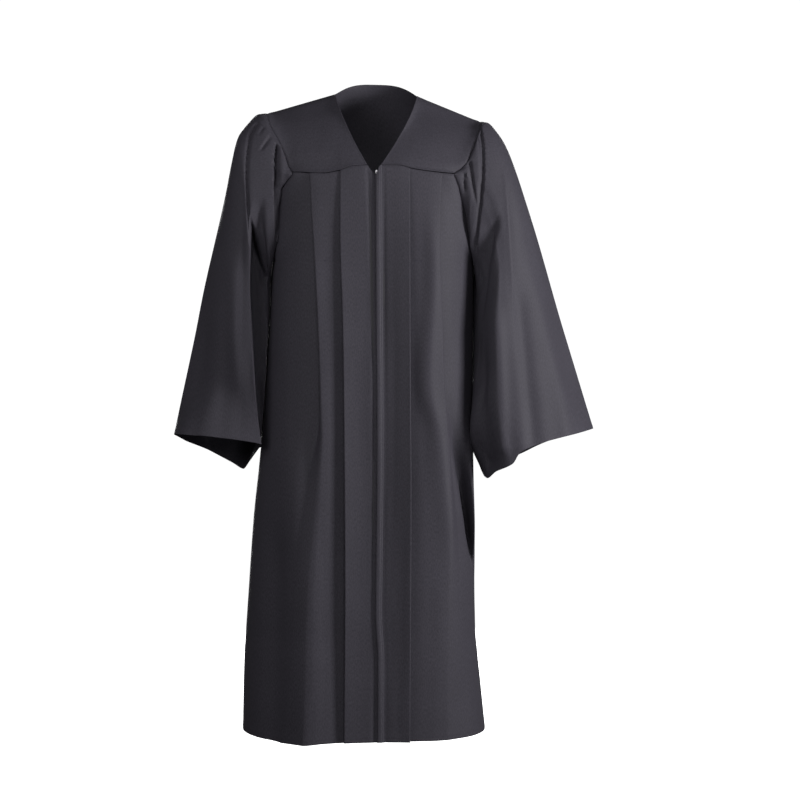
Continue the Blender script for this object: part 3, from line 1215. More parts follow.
# sleeves: wide bells, gathered into the armholes
ringNames = (
    "along outerX outerDown innerX innerDown innerForward "
    "front back lean frontRise backRise square innerSquare"
)
sleeves = {
    "rings": {
        rightSide: table(
            ringNames,
            (0.03, 0.2360, 0.0385, 0.2095, 0.351, 0.000, 0.091, 0.088, 0.022, 0.012, 0.012, 2.1, 2.1),
            (0.07, 0.2540, 0.0560, 0.2120, 0.367, 0.005, 0.091, 0.092, 0.010, 0.010, 0.010, 2.2, 2.0),
            (0.12, 0.2710, 0.0880, 0.2130, 0.387, 0.012, 0.090, 0.095, -0.004, 0.008, 0.008, 2.3, 1.8),
            (0.20, 0.2860, 0.1380, 0.2135, 0.418, 0.018, 0.088, 0.098, 0.002, 0.006, 0.004, 2.4, 1.6),
            (0.35, 0.3100, 0.2460, 0.2140, 0.476, 0.025, 0.086, 0.104, 0.014, 0.006, 0.000, 2.5, 1.5),
            (0.60, 0.3510, 0.4250, 0.2170, 0.581, 0.030, 0.090, 0.112, 0.041, 0.012, -0.004, 2.6, 1.6),
            (0.84, 0.3830, 0.5750, 0.2240, 0.660, 0.025, 0.096, 0.118, 0.067, 0.018, -0.010, 2.7, 2.0),
        ),
        leftSide: table(
            ringNames,
            (0.03, 0.2240, 0.0545, 0.1980, 0.352, 0.000, 0.090, 0.088, 0.022, 0.012, 0.012, 2.1, 2.1),
            (0.07, 0.2420, 0.0725, 0.2000, 0.369, 0.005, 0.090, 0.092, 0.016, 0.010, 0.010, 2.2, 2.0),
            (0.12, 0.2595, 0.1000, 0.2000, 0.391, 0.010, 0.090, 0.095, 0.010, 0.008, 0.008, 2.3, 1.8),
            (0.20, 0.2780, 0.1460, 0.1980, 0.427, 0.018, 0.093, 0.098, 0.006, 0.006, 0.004, 2.4, 1.5),
            (0.35, 0.3055, 0.2320, 0.1960, 0.492, 0.028, 0.099, 0.104, 0.008, 0.008, 0.000, 2.4, 1.4),
            (0.60, 0.3550, 0.4020, 0.1940, 0.600, 0.035, 0.108, 0.112, 0.036, 0.012, 0.000, 2.4, 1.4),
            (0.84, 0.4030, 0.5600, 0.1940, 0.690, 0.032, 0.117, 0.118, 0.058, 0.014, 0.000, 2.4, 1.6),
        ),
    },
    "form": {                   # of the front's outer side, and how far the sleeve laps behind the body
        rightSide: table(
            "along outerSquare slant lap hang",
            (0.03, 2.1, 0.000, 0.020, 0.0),
            (0.07, 2.6, 0.001, 0.028, 0.0),
            (0.12, 3.6, 0.003, 0.034, 0.25),
            (0.20, 4.4, 0.004, 0.036, 0.80),
            (0.35, 5.0, 0.007, 0.034, 1.0),
            (0.60, 5.5, 0.013, 0.036, 1.0),
            (0.84, 5.5, 0.018, 0.034, 1.0),
        ),
        leftSide: table(
            "along outerSquare slant lap hang",
            (0.03, 2.1, 0.000, 0.022, 0.0),
            (0.07, 2.4, 0.001, 0.042, 0.0),
            (0.12, 2.6, 0.002, 0.054, 0.0),
            (0.25, 3.2, 0.004, 0.060, 0.0),
            (0.60, 3.4, 0.004, 0.062, 0.0),
            (0.84, 3.4, 0.004, 0.038, 0.0),
        ),
    },
    "cuffs": {
        rightSide: table(
            "turn across forward down",
            (0, 0.4040, 0.000, 0.6770),
            (28, 0.3930, 0.055, 0.6750),
            (48, 0.3650, 0.083, 0.6765),
            (72, 0.2850, 0.100, 0.6840),
            (91, 0.2239, 0.094, 0.6955),
            (110, 0.2260, 0.074, 0.7000),
            (142, 0.2380, 0.042, 0.7055),
            (180, 0.2460, 0.004, 0.7120),
            (215, 0.2684, -0.052, 0.7470),
            (245, 0.2970, -0.101, 0.7340),
            (275, 0.3450, -0.120, 0.7100),
            (320, 0.3880, -0.075, 0.6900),
        ),
        leftSide: table(
            "turn across forward down",
            (0, 0.4350, 0.000, 0.6646),
            (30, 0.3900, 0.080, 0.6760),
            (58, 0.3250, 0.116, 0.6920),
            (78, 0.2830, 0.128, 0.7100),
            (90, 0.2680, 0.128, 0.7320),
            (118, 0.2320, 0.102, 0.7500),
            (142, 0.2196, 0.070, 0.7625),
            (180, 0.2105, 0.005, 0.7480),
            (215, 0.2200, -0.070, 0.7520),
            (255, 0.2900, -0.116, 0.7200),
            (290, 0.3500, -0.110, 0.6920),
            (330, 0.4050, -0.062, 0.6740),
        ),
    },
    "columns": (40, 56, 98, 98),            # in each quarter, from the underarm round the back, top and front
    "rows": 138,
    "endFineness": 0.4,
    "ringSteps": 801,
    "nose": 0.0008,             # roundness of the front's inner edge, and how far the cloth turns under it
    "noseEnd": 0.3,             # shares of the quarter turn from the front to the inner edge
    "hook": 0.0080,
    "hookAt": 0.42,
    "hookWidth": 0.15,
    "deepEnd": 0.55,
    "acrossStart": 0.35,
    "start": 0.0005,
    "startUnder": 0.0015,
    "clear": 0.0036,            # how clear of the body the sleeve stays, from what level, and how softly
    "clearRound": 0.0015,
    "clearFrom": 0.022,
    "clearDown": 0.25,
    "clearFade": 0.05,
    "girth": 0.70,
    "length": 0.66,
    "flat": (0.700, 0.640),
    "ripples": ((0.020, 0.30, 0.0006, 31), (0.055, 0.16, 0.0016, 33)),
    "rippleSeam": 0.25,
    "gather": 0.0007,           # the gathers of the cap
    "gatherPitch": (0.0085, 0.06),
    "gatherSeed": 35,
    "gatherFade": 0.020,
    "capUnder": 0.55,
    "capReach": 0.9,
    "seamCalm": 0.010,
    "underRoll": 0.7,
    "hemDeep": 0.012,
    "tuck": (                   # turned in under the body: across, inward
        (-0.0045, 0.0036),
        (-0.0024, 0.0032),
        (-0.0006, 0.0022),
    ),
    "folds": {
        rightSide: [
            # the long crease down the front, and the bowl and the laps between it and the armhole
            fold([(-0.2330, 0.056), (-0.2475, 0.0772), (-0.2535, 0.119), (-0.2555, 0.162), (-0.2530, 0.218),
                  (-0.2500, 0.261), (-0.2460, 0.300), (-0.2420, 0.345)],
                 0.0030, 0.0050, lean=0.50, start=0.06, end=0.2),
            fold([(-0.2060, 0.084), (-0.2150, 0.098), (-0.2240, 0.112), (-0.2310, 0.122)],
                 0.0034, 0.0036, lean=0.4, start=0.12, end=0.5),
            fold([(-0.2230, 0.196), (-0.2262, 0.251), (-0.2240, 0.300), (-0.2180, 0.349), (-0.2130, 0.390)],
                 0.0105, 0.0110, lean=-0.3, start=0.3, end=0.2),
            fold([(-0.1945, 0.100), (-0.1980, 0.129), (-0.1982, 0.168), (-0.1975, 0.218), (-0.1965, 0.251),
                  (-0.1960, 0.302)], 0.0046, 0.0140, lean=0.70, start=0.04, end=0.25),
            fold([(-0.1978, 0.175), (-0.1970, 0.218), (-0.1960, 0.251), (-0.1955, 0.315)],
                 0.0046, 0.0150, lean=0.70, start=0.3, end=0.3),
            fold([(-0.1740, 0.148), (-0.1790, 0.171), (-0.1830, 0.188)],
                 0.0028, 0.0036, lean=0.5, start=0.08, end=0.4),
            fold([(-0.2215, 0.066), (-0.2330, 0.086)], 0.0028, 0.0020, lean=0.4, start=0.1, end=0.5),
            # lengthwise swells towards the cuff
            fold([(-0.2780, 0.300), (-0.2770, 0.400), (-0.2720, 0.520), (-0.2640, 0.640)],
                 0.016, -0.0055, start=0.25, end=0.3),
            fall([(-0.2850, 0.300), (-0.3000, 0.420), (-0.3160, 0.560), (-0.3300, 0.690)], 0.026, -0.0022),
            fall([(-0.3250, 0.420), (-0.3450, 0.560), (-0.3620, 0.690)], 0.016, 0.0018),
            fall([(-0.2880, 0.470), (-0.2960, 0.580), (-0.3040, 0.690)], 0.014, 0.0014),
        ],
        leftSide: [
            # the long crease beside the armhole, the short ones inside it, and the dark valley beyond
            fold([(0.2075, 0.064), (0.2130, 0.100), (0.2140, 0.135), (0.2130, 0.175), (0.2080, 0.230),
                  (0.2000, 0.285), (0.1930, 0.335)], 0.0045, 0.0062, lean=-0.80, start=0.06, end=0.15),
            fold([(0.1765, 0.160), (0.1745, 0.182), (0.1765, 0.205)],
                 0.0034, 0.0050, lean=-0.4, start=0.08, end=0.4),
            fold([(0.1860, 0.137), (0.1890, 0.158), (0.1945, 0.1960), (0.1985, 0.235)],
                 0.0036, 0.0056, lean=-0.5, start=0.06, end=0.45),
            fold([(0.2010, 0.088), (0.2040, 0.105), (0.2060, 0.122)],
                 0.0026, 0.0022, lean=-0.4, start=0.1, end=0.5),
            fold([(0.2420, 0.235), (0.2320, 0.275), (0.2220, 0.315), (0.2130, 0.360), (0.2080, 0.420),
                  (0.2060, 0.480)],
                 0.0150, 0.0125, lean=-0.55, start=0.22, end=0.3),
            fold([(0.2530, 0.138), (0.2570, 0.204), (0.2622, 0.284), (0.2690, 0.392), (0.2760, 0.520)],
                 0.0030, -0.0011, lean=-0.55, start=0.15, end=0.3),
            # lengthwise swells towards the cuff
            fall([(0.3000, 0.300), (0.3300, 0.450), (0.3640, 0.600), (0.3760, 0.690)], 0.016, -0.0040),
            fall([(0.2760, 0.340), (0.2950, 0.520), (0.3080, 0.690)], 0.015, 0.0056),
            fall([(0.2380, 0.400), (0.2440, 0.540), (0.2480, 0.700)], 0.013, -0.0046),
            fall([(0.2000, 0.440), (0.2000, 0.560), (0.2050, 0.640), (0.2130, 0.730)], 0.022, 0.0140),
        ],
    },
    "backFolds": {
        rightSide: [
            fold([(-0.205, 0.090), (-0.212, 0.200), (-0.222, 0.330)],
                 0.0080, 0.0050, lean=0.2, start=0.15, end=0.3),
            fold([(-0.182, 0.150), (-0.186, 0.250)], 0.0050, 0.0034, start=0.2),
            fold([(-0.232, 0.085), (-0.242, 0.170), (-0.256, 0.300)], 0.0060, 0.0030, start=0.2),
            fold([(-0.262, 0.240), (-0.282, 0.420), (-0.300, 0.700)], 0.0180, 0.0070, start=0.25, end=0.0),
            fall([(-0.300, 0.300), (-0.326, 0.480), (-0.350, 0.690)], 0.0140, -0.0045),
            fall([(-0.236, 0.330), (-0.248, 0.500), (-0.262, 0.720)], 0.0140, -0.0040),
        ],
        leftSide: [
            fold([(0.196, 0.100), (0.204, 0.210), (0.214, 0.340)],
                 0.0080, 0.0050, lean=0.2, start=0.15, end=0.3),
            fold([(0.176, 0.150), (0.180, 0.240)], 0.0050, 0.0032, start=0.2),
            fold([(0.224, 0.100), (0.236, 0.190), (0.252, 0.310)], 0.0065, 0.0034, start=0.2),
            fold([(0.256, 0.230), (0.280, 0.420), (0.306, 0.700)], 0.0170, 0.0070, start=0.25, end=0.0),
            fall([(0.300, 0.280), (0.334, 0.470), (0.366, 0.680)], 0.0140, -0.0045),
            fall([(0.226, 0.330), (0.240, 0.520), (0.250, 0.730)], 0.0150, -0.0042),
        ],
    },
}


def ringPoints(side, number, angle):
    # one ring of a sleeve, as a rounded oblong between its outer and inner points
    ring = {name: values[number] for name, values in sleeves["rings"][side].items()}
    outerSquare, slant, lap, hang = (
        read(sleeves["form"][side], name, ring["along"]) for name in ("outerSquare", "slant", "lap", "hang")
    )
    cos, sin = np.cos(angle)[:, None], np.sin(angle)[:, None]
    power = 2 / np.where(sin > 0, np.where(cos < 0, ring["innerSquare"], outerSquare), ring["square"])
    out, inward = np.maximum(cos, 0) ** power, np.maximum(-cos, 0) ** power
    ahead, behind = np.maximum(sin, 0) ** power, np.maximum(-sin, 0) ** power
    outer = np.array([side * ring["outerX"], 0.0, -ring["outerDown"]])
    inner = np.array([side * ring["innerX"], -ring["innerForward"], -ring["innerDown"]])
    centre = (outer + inner) / 2
    front = np.array([-side * ring["lean"], -ring["front"] - centre[1], ring["frontRise"]])
    back = np.array([0.0, ring["back"] - centre[1], ring["backRise"]])
    points = centre + out * (outer - centre) + inward * (inner - centre) + ahead * front + behind * back
    points = points + out * ahead * np.array([0.0, slant, 0.0])
    points = points - inward * behind * np.array([side * lap, 0.0, 0.0])

    # from its inner edge the front turns under and back, to the valley beside the body
    past = np.arctan2(np.maximum(-cos, 0), np.maximum(sin, 1e-9)) / (math.pi / 2)
    deep = ease(past / sleeves["deepEnd"])
    across = ease((past - sleeves["acrossStart"]) / (1 - sleeves["acrossStart"]))
    ridge = centre + front
    under = ridge + (inner - ridge) * np.where([False, True, False], deep, across)
    nose = sleeves["nose"] * np.sin(math.pi * np.clip(past / sleeves["noseEnd"], 0, 1))
    turned = nose - sleeves["hook"] * bump(past - sleeves["hookAt"], sleeves["hookWidth"])
    under = under - turned * np.array([side, 0.0, 0.0])
    return np.where((sin > 0) & (cos < 0), points + (under - points) * hang, points)


def cuffPoints(side, angle):
    rows = sleeves["cuffs"][side]
    turns = rows["turn"]
    points = np.stack([side * rows["across"], -rows["forward"], -rows["down"]], axis=-1)
    keys = np.concatenate([turns[-2:] - 360, turns, turns[:2] + 360])
    return through(keys, np.concatenate([points[-2:], points, points[:2]]), np.degrees(angle) % 360)


def evenRing(ring, angle):
    # the columns of each quarter of a ring, at even steps along the cloth
    fine = (1 - np.cos(np.linspace(0, math.pi, sleeves["ringSteps"]))) / 2
    turn = (angle - math.pi) / (math.pi / 2)
    quarter = np.minimum(turn.astype(int), 3)
    points = np.empty((len(angle), 3))
    for k in range(4):
        curve = ring(math.pi * (1 + (k + fine) / 2))
        total = np.concatenate([[0.0], np.cumsum(np.linalg.norm(np.diff(curve, axis=0), axis=1))])
        share = (turn[quarter == k] - k) * total[-1]
        points[quarter == k] = np.stack([np.interp(share, total, curve[:, n]) for n in range(3)], axis=-1)
    return points


def bodyReach(side, points):
    # how far across the body's side lies beside each point
    y, down = points[..., 1], -points[..., 2]
    ahead, behind = bodyShape(side, frontFace, down), bodyShape(side, backFace, down)
    depth, square, width = (np.where(y < 0, ahead[k], behind[k]) for k in range(3))
    return width * roundedShare(np.clip(np.abs(y) / depth, 0, 1), square)


def fromRingCentre(grid):
    return grid - grid[:, :-1].mean(axis=1, keepdims=True)


def sleeveGrid(side):
    quarters = [k + np.arange(count) / count for k, count in enumerate(sleeves["columns"])]
    angle = math.pi * (1 + np.append(np.concatenate(quarters), 4.0) / 2)
    level = stops(0, 1, sleeves["rows"], *fineness["sleeve"], atEnd=sleeves["endFineness"])
    count = len(sleeves["rings"][side]["along"])
    rings = [evenRing(lambda turn: armhole(side, turn), angle)]
    rings += [evenRing(lambda turn: ringPoints(side, k, turn), angle) for k in range(count)]
    rings += [evenRing(lambda turn: cuffPoints(side, turn), angle)]
    along = np.concatenate([[0.0], sleeves["rings"][side]["along"], [1.0]])
    grid = through(along, np.array(rings), level)
    under = ((1 - np.cos(angle)) / 2) ** 2
    start = 1 - ease(level / sleeves["clearFrom"])[:, None]
    grid[..., 0] += side * start * (sleeves["start"] + (sleeves["startUnder"] - sleeves["start"]) * under)

    normal, _ = outwardNormals(grid, fromRingCentre(grid), True)
    x, down = grid[..., 0], -grid[..., 2]
    depth = foldDepth(sleeves["folds"][side], x, down) * ease(-2 * normal[..., 1])
    depth += foldDepth(sleeves["backFolds"][side], x, down) * ease(2 * normal[..., 1])
    u, v = np.broadcast_arrays(angle * sleeves["girth"] / (2 * math.pi), (level * sleeves["length"])[:, None])
    seam = ease(np.minimum(angle - math.pi, 3 * math.pi - angle) / sleeves["rippleSeam"])[None]
    for pitchU, pitchV, height, seed in sleeves["ripples"]:
        depth += seam * softNoise(u / pitchU, v / pitchV, seed + side) * height
    cap = ease((np.cos(angle) + sleeves["capUnder"]) / sleeves["capReach"])[None]
    cap = cap * np.exp(-v / sleeves["gatherFade"])
    pitchU, pitchV = sleeves["gatherPitch"]
    depth += cap * softNoise(u / pitchU, v / pitchV, sleeves["gatherSeed"] + side) * sleeves["gather"]
    depth *= ease(v / sleeves["seamCalm"])
    grid = grid - normal * depth[..., None]

    across = side * grid[..., 0]
    clear = bodyReach(side, grid) + sleeves["clear"]
    pushed = (across + clear + np.hypot(across - clear, sleeves["clearRound"])) / 2
    beside = (1 - start) * ease((-grid[..., 2] - sleeves["clearDown"]) / sleeves["clearFade"])
    grid[..., 0] = side * (across + (pushed - across) * beside)
    grid[:, -1] = grid[:, 0]
    return grid


def makeSleeve(side):
    grid = sleeveGrid(side)
    far = edgeDistance(grid)
    outward = fromRingCentre(grid)
    normal, _ = outwardNormals(grid, outward, True)
    underSeam = (seamRoll(far["first"]) + seamRoll(far["last"])) * (far["last"] > 0)
    roll = seamRoll(far["top"]) + sleeves["underRoll"] * underSeam
    proud, hem = hemShape(far["bottom"], far["first"], sleeves["hemDeep"], hems["sleeveSeed"] + side)
    for part in (roll, proud, hem):
        part[:, -1] = part[:, 0]
    grid = grid + normal * (proud - roll)[..., None]
    thick = cloth["thick"] / 2 * turnedEdge(far["bottom"])
    toCentre = (grid[0].max(0) + grid[0].min(0)) / 2 - grid[0]
    toCentre[:, 0] = 0
    toCentre /= np.linalg.norm(toCentre, axis=1, keepdims=True)
    tuck = [grid[0] + toCentre * inward + [side * across, 0, 0] for across, inward in sleeves["tuck"]]
    outward, thick, hem = (np.concatenate([part[:1]] * len(tuck) + [part]) for part in (outward, thick, hem))
    name = "sleeve_" + sideNames[side] + "_cloth"
    whole = np.concatenate([np.array(tuck), grid])
    return makeShell(name, whole, outward, thick, thick + hem, closed=True), grid, normal


sleevePieces = {side: makeSleeve(side) for side in bothSides}
print("gown: sleeves shaped")


# the fly: a folded strip over the zip, sewn down beside the wearer's left front edge
fly = {
    "profile": table(
        "across inward",
        (0.0002, -0.0034),
        (0.0008, -0.0043),
        (0.0026, -0.0050),
        (0.0056, -0.0049),
        (0.0082, -0.0041),
        (0.0094, -0.0031),
        (0.0100, -0.0028),
        (0.0108, -0.0029),
        (0.0130, -0.0013),
    ),
    "columns": 20,
    "levels": (44, 156),
    "ripples": ((0.034, 1.0, 0.00035, 0, 0.5), (0.11, 1.0, 0.0006, 0, 0.5)),
    "rippleSeed": 71,
    "freeEnd": 0.0090,          # the edge over the zip is free and waves a little
    "freeFade": 0.006,
    "halfThick": 0.0004,
    "doubled": 0.0003,
    "stitchLine": 0.0098,
    "stitchLift": 0.0004,
    "flat": (0.014, 1.115),
}


def middleStrip(side, levels, across, inward):
    # a strip down the centre front, measured from where the fronts meet
    grid, away = [], []
    for down in levels:
        outline = Outline(side, frontFace, float(down))
        around = side * (middleAt(float(down)) + np.asarray(across))
        grid.append(outline.place(around, np.asarray(inward)))
        away.append(outline.place(around, np.asarray(inward) - 1.0) - grid[-1])
    return np.array(grid), np.array(away)


def makeFly():
    levels = bodyLevels(leftSide, yoke["frontCorner"][leftSide], fly["levels"])
    keys, depths = fly["profile"]["across"], fly["profile"]["inward"]
    across = stops(keys[0], keys[-1], fly["columns"], *fineness["fly"])
    grid, away = middleStrip(leftSide, levels, across, flowing(keys, depths, across))
    wave = ripples(-grid[..., 2], np.zeros(grid.shape[:2]), fly["ripples"], fly["rippleSeed"])
    free = ease((fly["freeEnd"] - across) / fly["freeFade"])[None]
    grid = grid - away * (wave * free)[..., None]
    far = edgeDistance(grid)
    thick = fly["halfThick"] * turnedEdge(far["first"]) * turnedEdge(far["bottom"])
    return makeShell("fly_cloth", grid, away, thick, thick + fly["doubled"] * free), grid, away


flyPiece = makeFly()
print("gown: fly folded")


# repeated beads along lines: stitches and the zip's coil
def beadTree(name, finish, sizes, turned):
    tree = bpy.data.node_groups.new(name, "GeometryNodeTree")
    face = tree.interface
    face.new_socket(name="Geometry", in_out="INPUT", socket_type="NodeSocketGeometry")
    sockets = {}
    for label, value in sizes.items():
        kind = "NodeSocketInt" if label == "Seed" else "NodeSocketFloat"
        sockets[label] = face.new_socket(name=label, in_out="INPUT", socket_type=kind)
        sockets[label].default_value = value
    face.new_socket(name="Geometry", in_out="OUTPUT", socket_type="NodeSocketGeometry")
    start, stop = newNode(tree, "NodeGroupInput"), newNode(tree, "NodeGroupOutput")
    line = newNode(tree, "GeometryNodeMeshToCurve")
    places = newNode(tree, "GeometryNodeCurveToPoints", mode="LENGTH")
    ball = newNode(tree, "GeometryNodeMeshUVSphere", {"Segments": 6, "Rings": 4, "Radius": 1.0})
    size, shape = newNode(tree, "ShaderNodeCombineXYZ"), newNode(tree, "GeometryNodeTransform")
    put, turn = newNode(tree, "GeometryNodeInstanceOnPoints"), newNode(tree, "GeometryNodeRotateInstances")
    tilt = newNode(tree, "FunctionNodeRandomValue", data_type="FLOAT_VECTOR")
    spread = newNode(tree, "ShaderNodeMath", {1: -1.0}, operation="MULTIPLY")
    real, smooth = newNode(tree, "GeometryNodeRealizeInstances"), newNode(tree, "GeometryNodeSetShadeSmooth")
    paint = newNode(tree, "GeometryNodeSetMaterial", {"Material": finish})
    joinNodes(
        tree,
        (start, "Geometry", line, "Mesh"),
        (line, "Curve", places, "Curve"),
        (start, "Pitch", places, "Length"),
        (start, "Half width", size, "X"),
        (start, "Half height", size, "Y"),
        (start, "Half length", size, "Z"),
        (ball, "Mesh", shape, "Geometry"),
        (size, "Vector", shape, "Scale"),
        (places, "Points", put, "Points"),
        (shape, "Geometry", put, "Instance"),
        (start, "Tilt", spread, 0),
        (spread, "Value", tilt, 0),
        (start, "Tilt", tilt, 1),
        (start, "Seed", tilt, "Seed"),
        (put, "Instances", turn, "Instances"),
        (tilt, 0, turn, "Rotation"),
        (turn, "Instances", real, "Geometry"),
        (real, "Geometry", smooth, "Geometry"),
        (smooth, "Geometry", paint, "Geometry"),
        (paint, "Geometry", stop, "Geometry"),
    )
    if turned:
        joinNodes(tree, (places, "Rotation", put, "Rotation"))
    return tree, {label: socket.identifier for label, socket in sockets.items()}


def beadsAlong(name, lines, finish, sizes, turned=True):
    edges, first = [], 0
    for line in lines:
        edges += [(first + k, first + k + 1) for k in range(len(line) - 1)]
        first += len(line)
    mesh = bpy.data.meshes.new(name + "_line")
    mesh.from_pydata(np.concatenate(lines).tolist(), edges, [])
    guide = newPiece(name + "_line", mesh)
    tree, identifiers = beadTree(name + "_tree", finish, sizes, turned)
    beads = guide.modifiers.new("beads", "NODES")
    beads.node_group = tree
    for label, value in sizes.items():
        beads[identifiers[label]] = value
    piece = newPiece(name, finishedMesh(guide))
    guide.modifiers.remove(beads)
    bpy.data.objects.remove(guide)
    return piece


def acrossLine(made, edge, at, lift):
    # a line that runs from column to column, at a distance from the top or bottom edge
    _, grid, normal = made
    distance, lifted = edgeDistance(grid)[edge], grid + normal * lift
    points = []
    for k in range(grid.shape[1]):
        order = np.argsort(distance[:, k])
        points.append([np.interp(at, distance[order, k], lifted[order, k, n]) for n in range(3)])
    return np.array(points)


def downLine(made, edge, at, lift):
    # a line that runs from row to row, at a distance from the first or last column
    _, grid, normal = made
    turned = (None, np.swapaxes(grid, 0, 1), np.swapaxes(normal, 0, 1))
    return acrossLine(turned, {"first": "top", "last": "bottom"}[edge], at, lift)


stitches = {
    "lift": 0.00012,
    "thread": {
        "Pitch": 0.0029,
        "Half length": 0.00115,
        "Half width": 0.00022,
        "Half height": 0.00018,
        "Tilt": 0.06,
        "Seed": 5,
    },
}


def hemLines(deep, *pieces):
    return [acrossLine(made, "bottom", deep, stitches["lift"]) for made in pieces]


seams = {
    "hem_stitches": hemLines(fronts["hemDeep"], frontPieces[rightSide], frontPieces[leftSide], backPiece),
    "cuff_stitches_right": hemLines(sleeves["hemDeep"], sleevePieces[rightSide]),
    "cuff_stitches_left": hemLines(sleeves["hemDeep"], sleevePieces[leftSide]),
    "fly_stitches": [downLine(flyPiece, "first", fly["stitchLine"], fly["stitchLift"])],
}
threads = {name: beadsAlong(name, lines, threadFinish, stitches["thread"]) for name, lines in seams.items()}
print("gown: stitches sewn")


# the zip under the fly
zipper = {
    "top": 0.160,
    "end": 1.140,
    "middle": 0.0041,
    "half": 0.0022,
    "tape": {
        "drop": 0.0080,
        "gap": 0.0004,
        "width": 0.0125,
        "inward": 0.0017,
        "halfThick": 0.0003,
        "levels": 150,
        "columns": 9,
        "ribs": ((0.00018, 1.0), (0.00012, 7.5)),       # height, and the column that each lies on
        "ribWidth": 0.8,
        "flat": (0.0125, 0.962),
    },
    "rows": {"inset": 0.0010, "stagger": 0.0004, "across": 0.00065, "steps": 400},
    "teeth": {
        "Pitch": 0.0017,
        "Half length": 0.00062,
        "Half width": 0.0015,
        "Half height": 0.00078,
        "Tilt": 0.03,
        "Seed": 3,
    },
    "slider": {"width": 0.0072, "length": 0.0110, "thick": 0.0034, "bevel": 0.00018},
    "pull": {
        "width": 0.0048,
        "length": 0.0240,
        "thick": 0.0008,
        "bevel": 0.00012,
        "drop": 0.0035,
        "inward": -0.0025,
        "topShare": 0.62,
        "roundSteps": 9,
        "holeSteps": 16,
        "holes": (              # end, distance from it, half width, half height
            (1, 0.0022, 0.0009, 0.0011),
            (-1, 0.0062, 0.0013, 0.0034),
        ),
    },
    "bevelSteps": 3,
    "sharpAngle": 40,
}
chainStart = zipper["top"] + zipper["slider"]["length"] + cloth["seamGap"]


def bar(half, low, high):
    return [(-half, low), (half, low), (half, high), (-half, high)]


# the slider's plates: outline (across, up), near and far face, in shares of the slider's half sizes
shield = [(-0.62, -1), (0.62, -1), (0.80, -0.35), (1, 0.25), (0.96, 0.72), (0.55, 1), (0, 0.82), (-0.55, 1),
          (-0.96, 0.72), (-1, 0.25), (-0.80, -0.35)]
sliderPlates = [
    (shield, -0.62, -0.30),
    (shield, 0.66, 1),
    # the wedge that parts the coils, and the rails beside them
    ([(0, -0.2), (0.22, 0.5), (0, 0.8), (-0.22, 0.5)], -0.30, 0.66),
    ([(-0.78, -0.33), (-0.97, 0.25), (-0.80, 0.25), (-0.62, -0.33)], -0.30, 0.10),
    ([(0.78, -0.33), (0.97, 0.25), (0.80, 0.25), (0.62, -0.33)], -0.30, 0.10),
    # the bridge that carries the pull tab
    (bar(0.16, -0.62, -0.40), -1, -0.60),
    (bar(0.16, 0.30, 0.55), -1, -0.60),
    (bar(0.16, -0.62, 0.55), -1.05, -0.88),
]


def makeTape(side):
    tape = zipper["tape"]
    levels = np.linspace(chainStart + tape["drop"], zipper["end"], tape["levels"])
    spread = zipper["half"] + tape["gap"] + np.linspace(0.0, tape["width"], tape["columns"])
    columns = np.arange(tape["columns"])
    ribs = sum(height * bump(columns - at, tape["ribWidth"]) for height, at in tape["ribs"])
    grid, away = middleStrip(side, levels, zipper["middle"] + side * spread, tape["inward"] - ribs)
    thick = np.full(grid.shape[:2], tape["halfThick"])
    return makeShell("zip_tape_" + sideNames[side] + "_woven", grid, away, thick, thick)


def makeTeeth():
    rows, lines = zipper["rows"], []
    for side in bothSides:
        start = chainStart + rows["inset"] + rows["stagger"] * side
        levels = np.linspace(start, zipper["end"] - rows["inset"], rows["steps"])
        line, _ = middleStrip(leftSide, levels, [zipper["middle"] + side * rows["across"]], [0.0])
        lines.append(line[:, 0])
    return beadsAlong("zip_chain_coil", lines, coilFinish, zipper["teeth"], turned=False)


def plate(shape, outline, near, far):
    # a flat plate: its outline is (across, up) points, and it runs from near to far in depth
    front = [shape.verts.new((x, near, z)) for x, z in outline]
    behind = [shape.verts.new((x, far, z)) for x, z in outline]
    shape.faces.new(front)
    shape.faces.new(behind[::-1])
    for k in range(len(outline)):
        n = (k + 1) % len(outline)
        shape.faces.new((front[n], front[k], behind[k], behind[n]))


def finishMetal(name, shape, at, bevel):
    bmesh.ops.translate(shape, verts=shape.verts, vec=at)
    bmesh.ops.recalc_face_normals(shape, faces=shape.faces)
    mesh = bpy.data.meshes.new(name)
    shape.to_mesh(mesh)
    shape.free()
    piece = newPiece(name, mesh)
    soft = piece.modifiers.new("bevel", "BEVEL")
    soft.width, soft.segments, soft.limit_method = bevel, zipper["bevelSteps"], "ANGLE"
    made = finishedMesh(piece)
    piece.modifiers.remove(soft)
    piece.data = made
    made.shade_smooth()
    made.set_sharp_from_angle(angle=math.radians(zipper["sharpAngle"]))
    return piece


def makeSlider():
    size = zipper["slider"]
    half, tall, deep = size["width"] / 2, size["length"] / 2, size["thick"] / 2
    place, _ = middleStrip(leftSide, [zipper["top"] + tall], [zipper["middle"]], [0.0])
    shape = bmesh.new()
    for outline, near, far in sliderPlates:
        plate(shape, [(across * half, up * tall) for across, up in outline], near * deep, far * deep)
    return finishMetal("zip_slider_metal", shape, place[0, 0], size["bevel"])


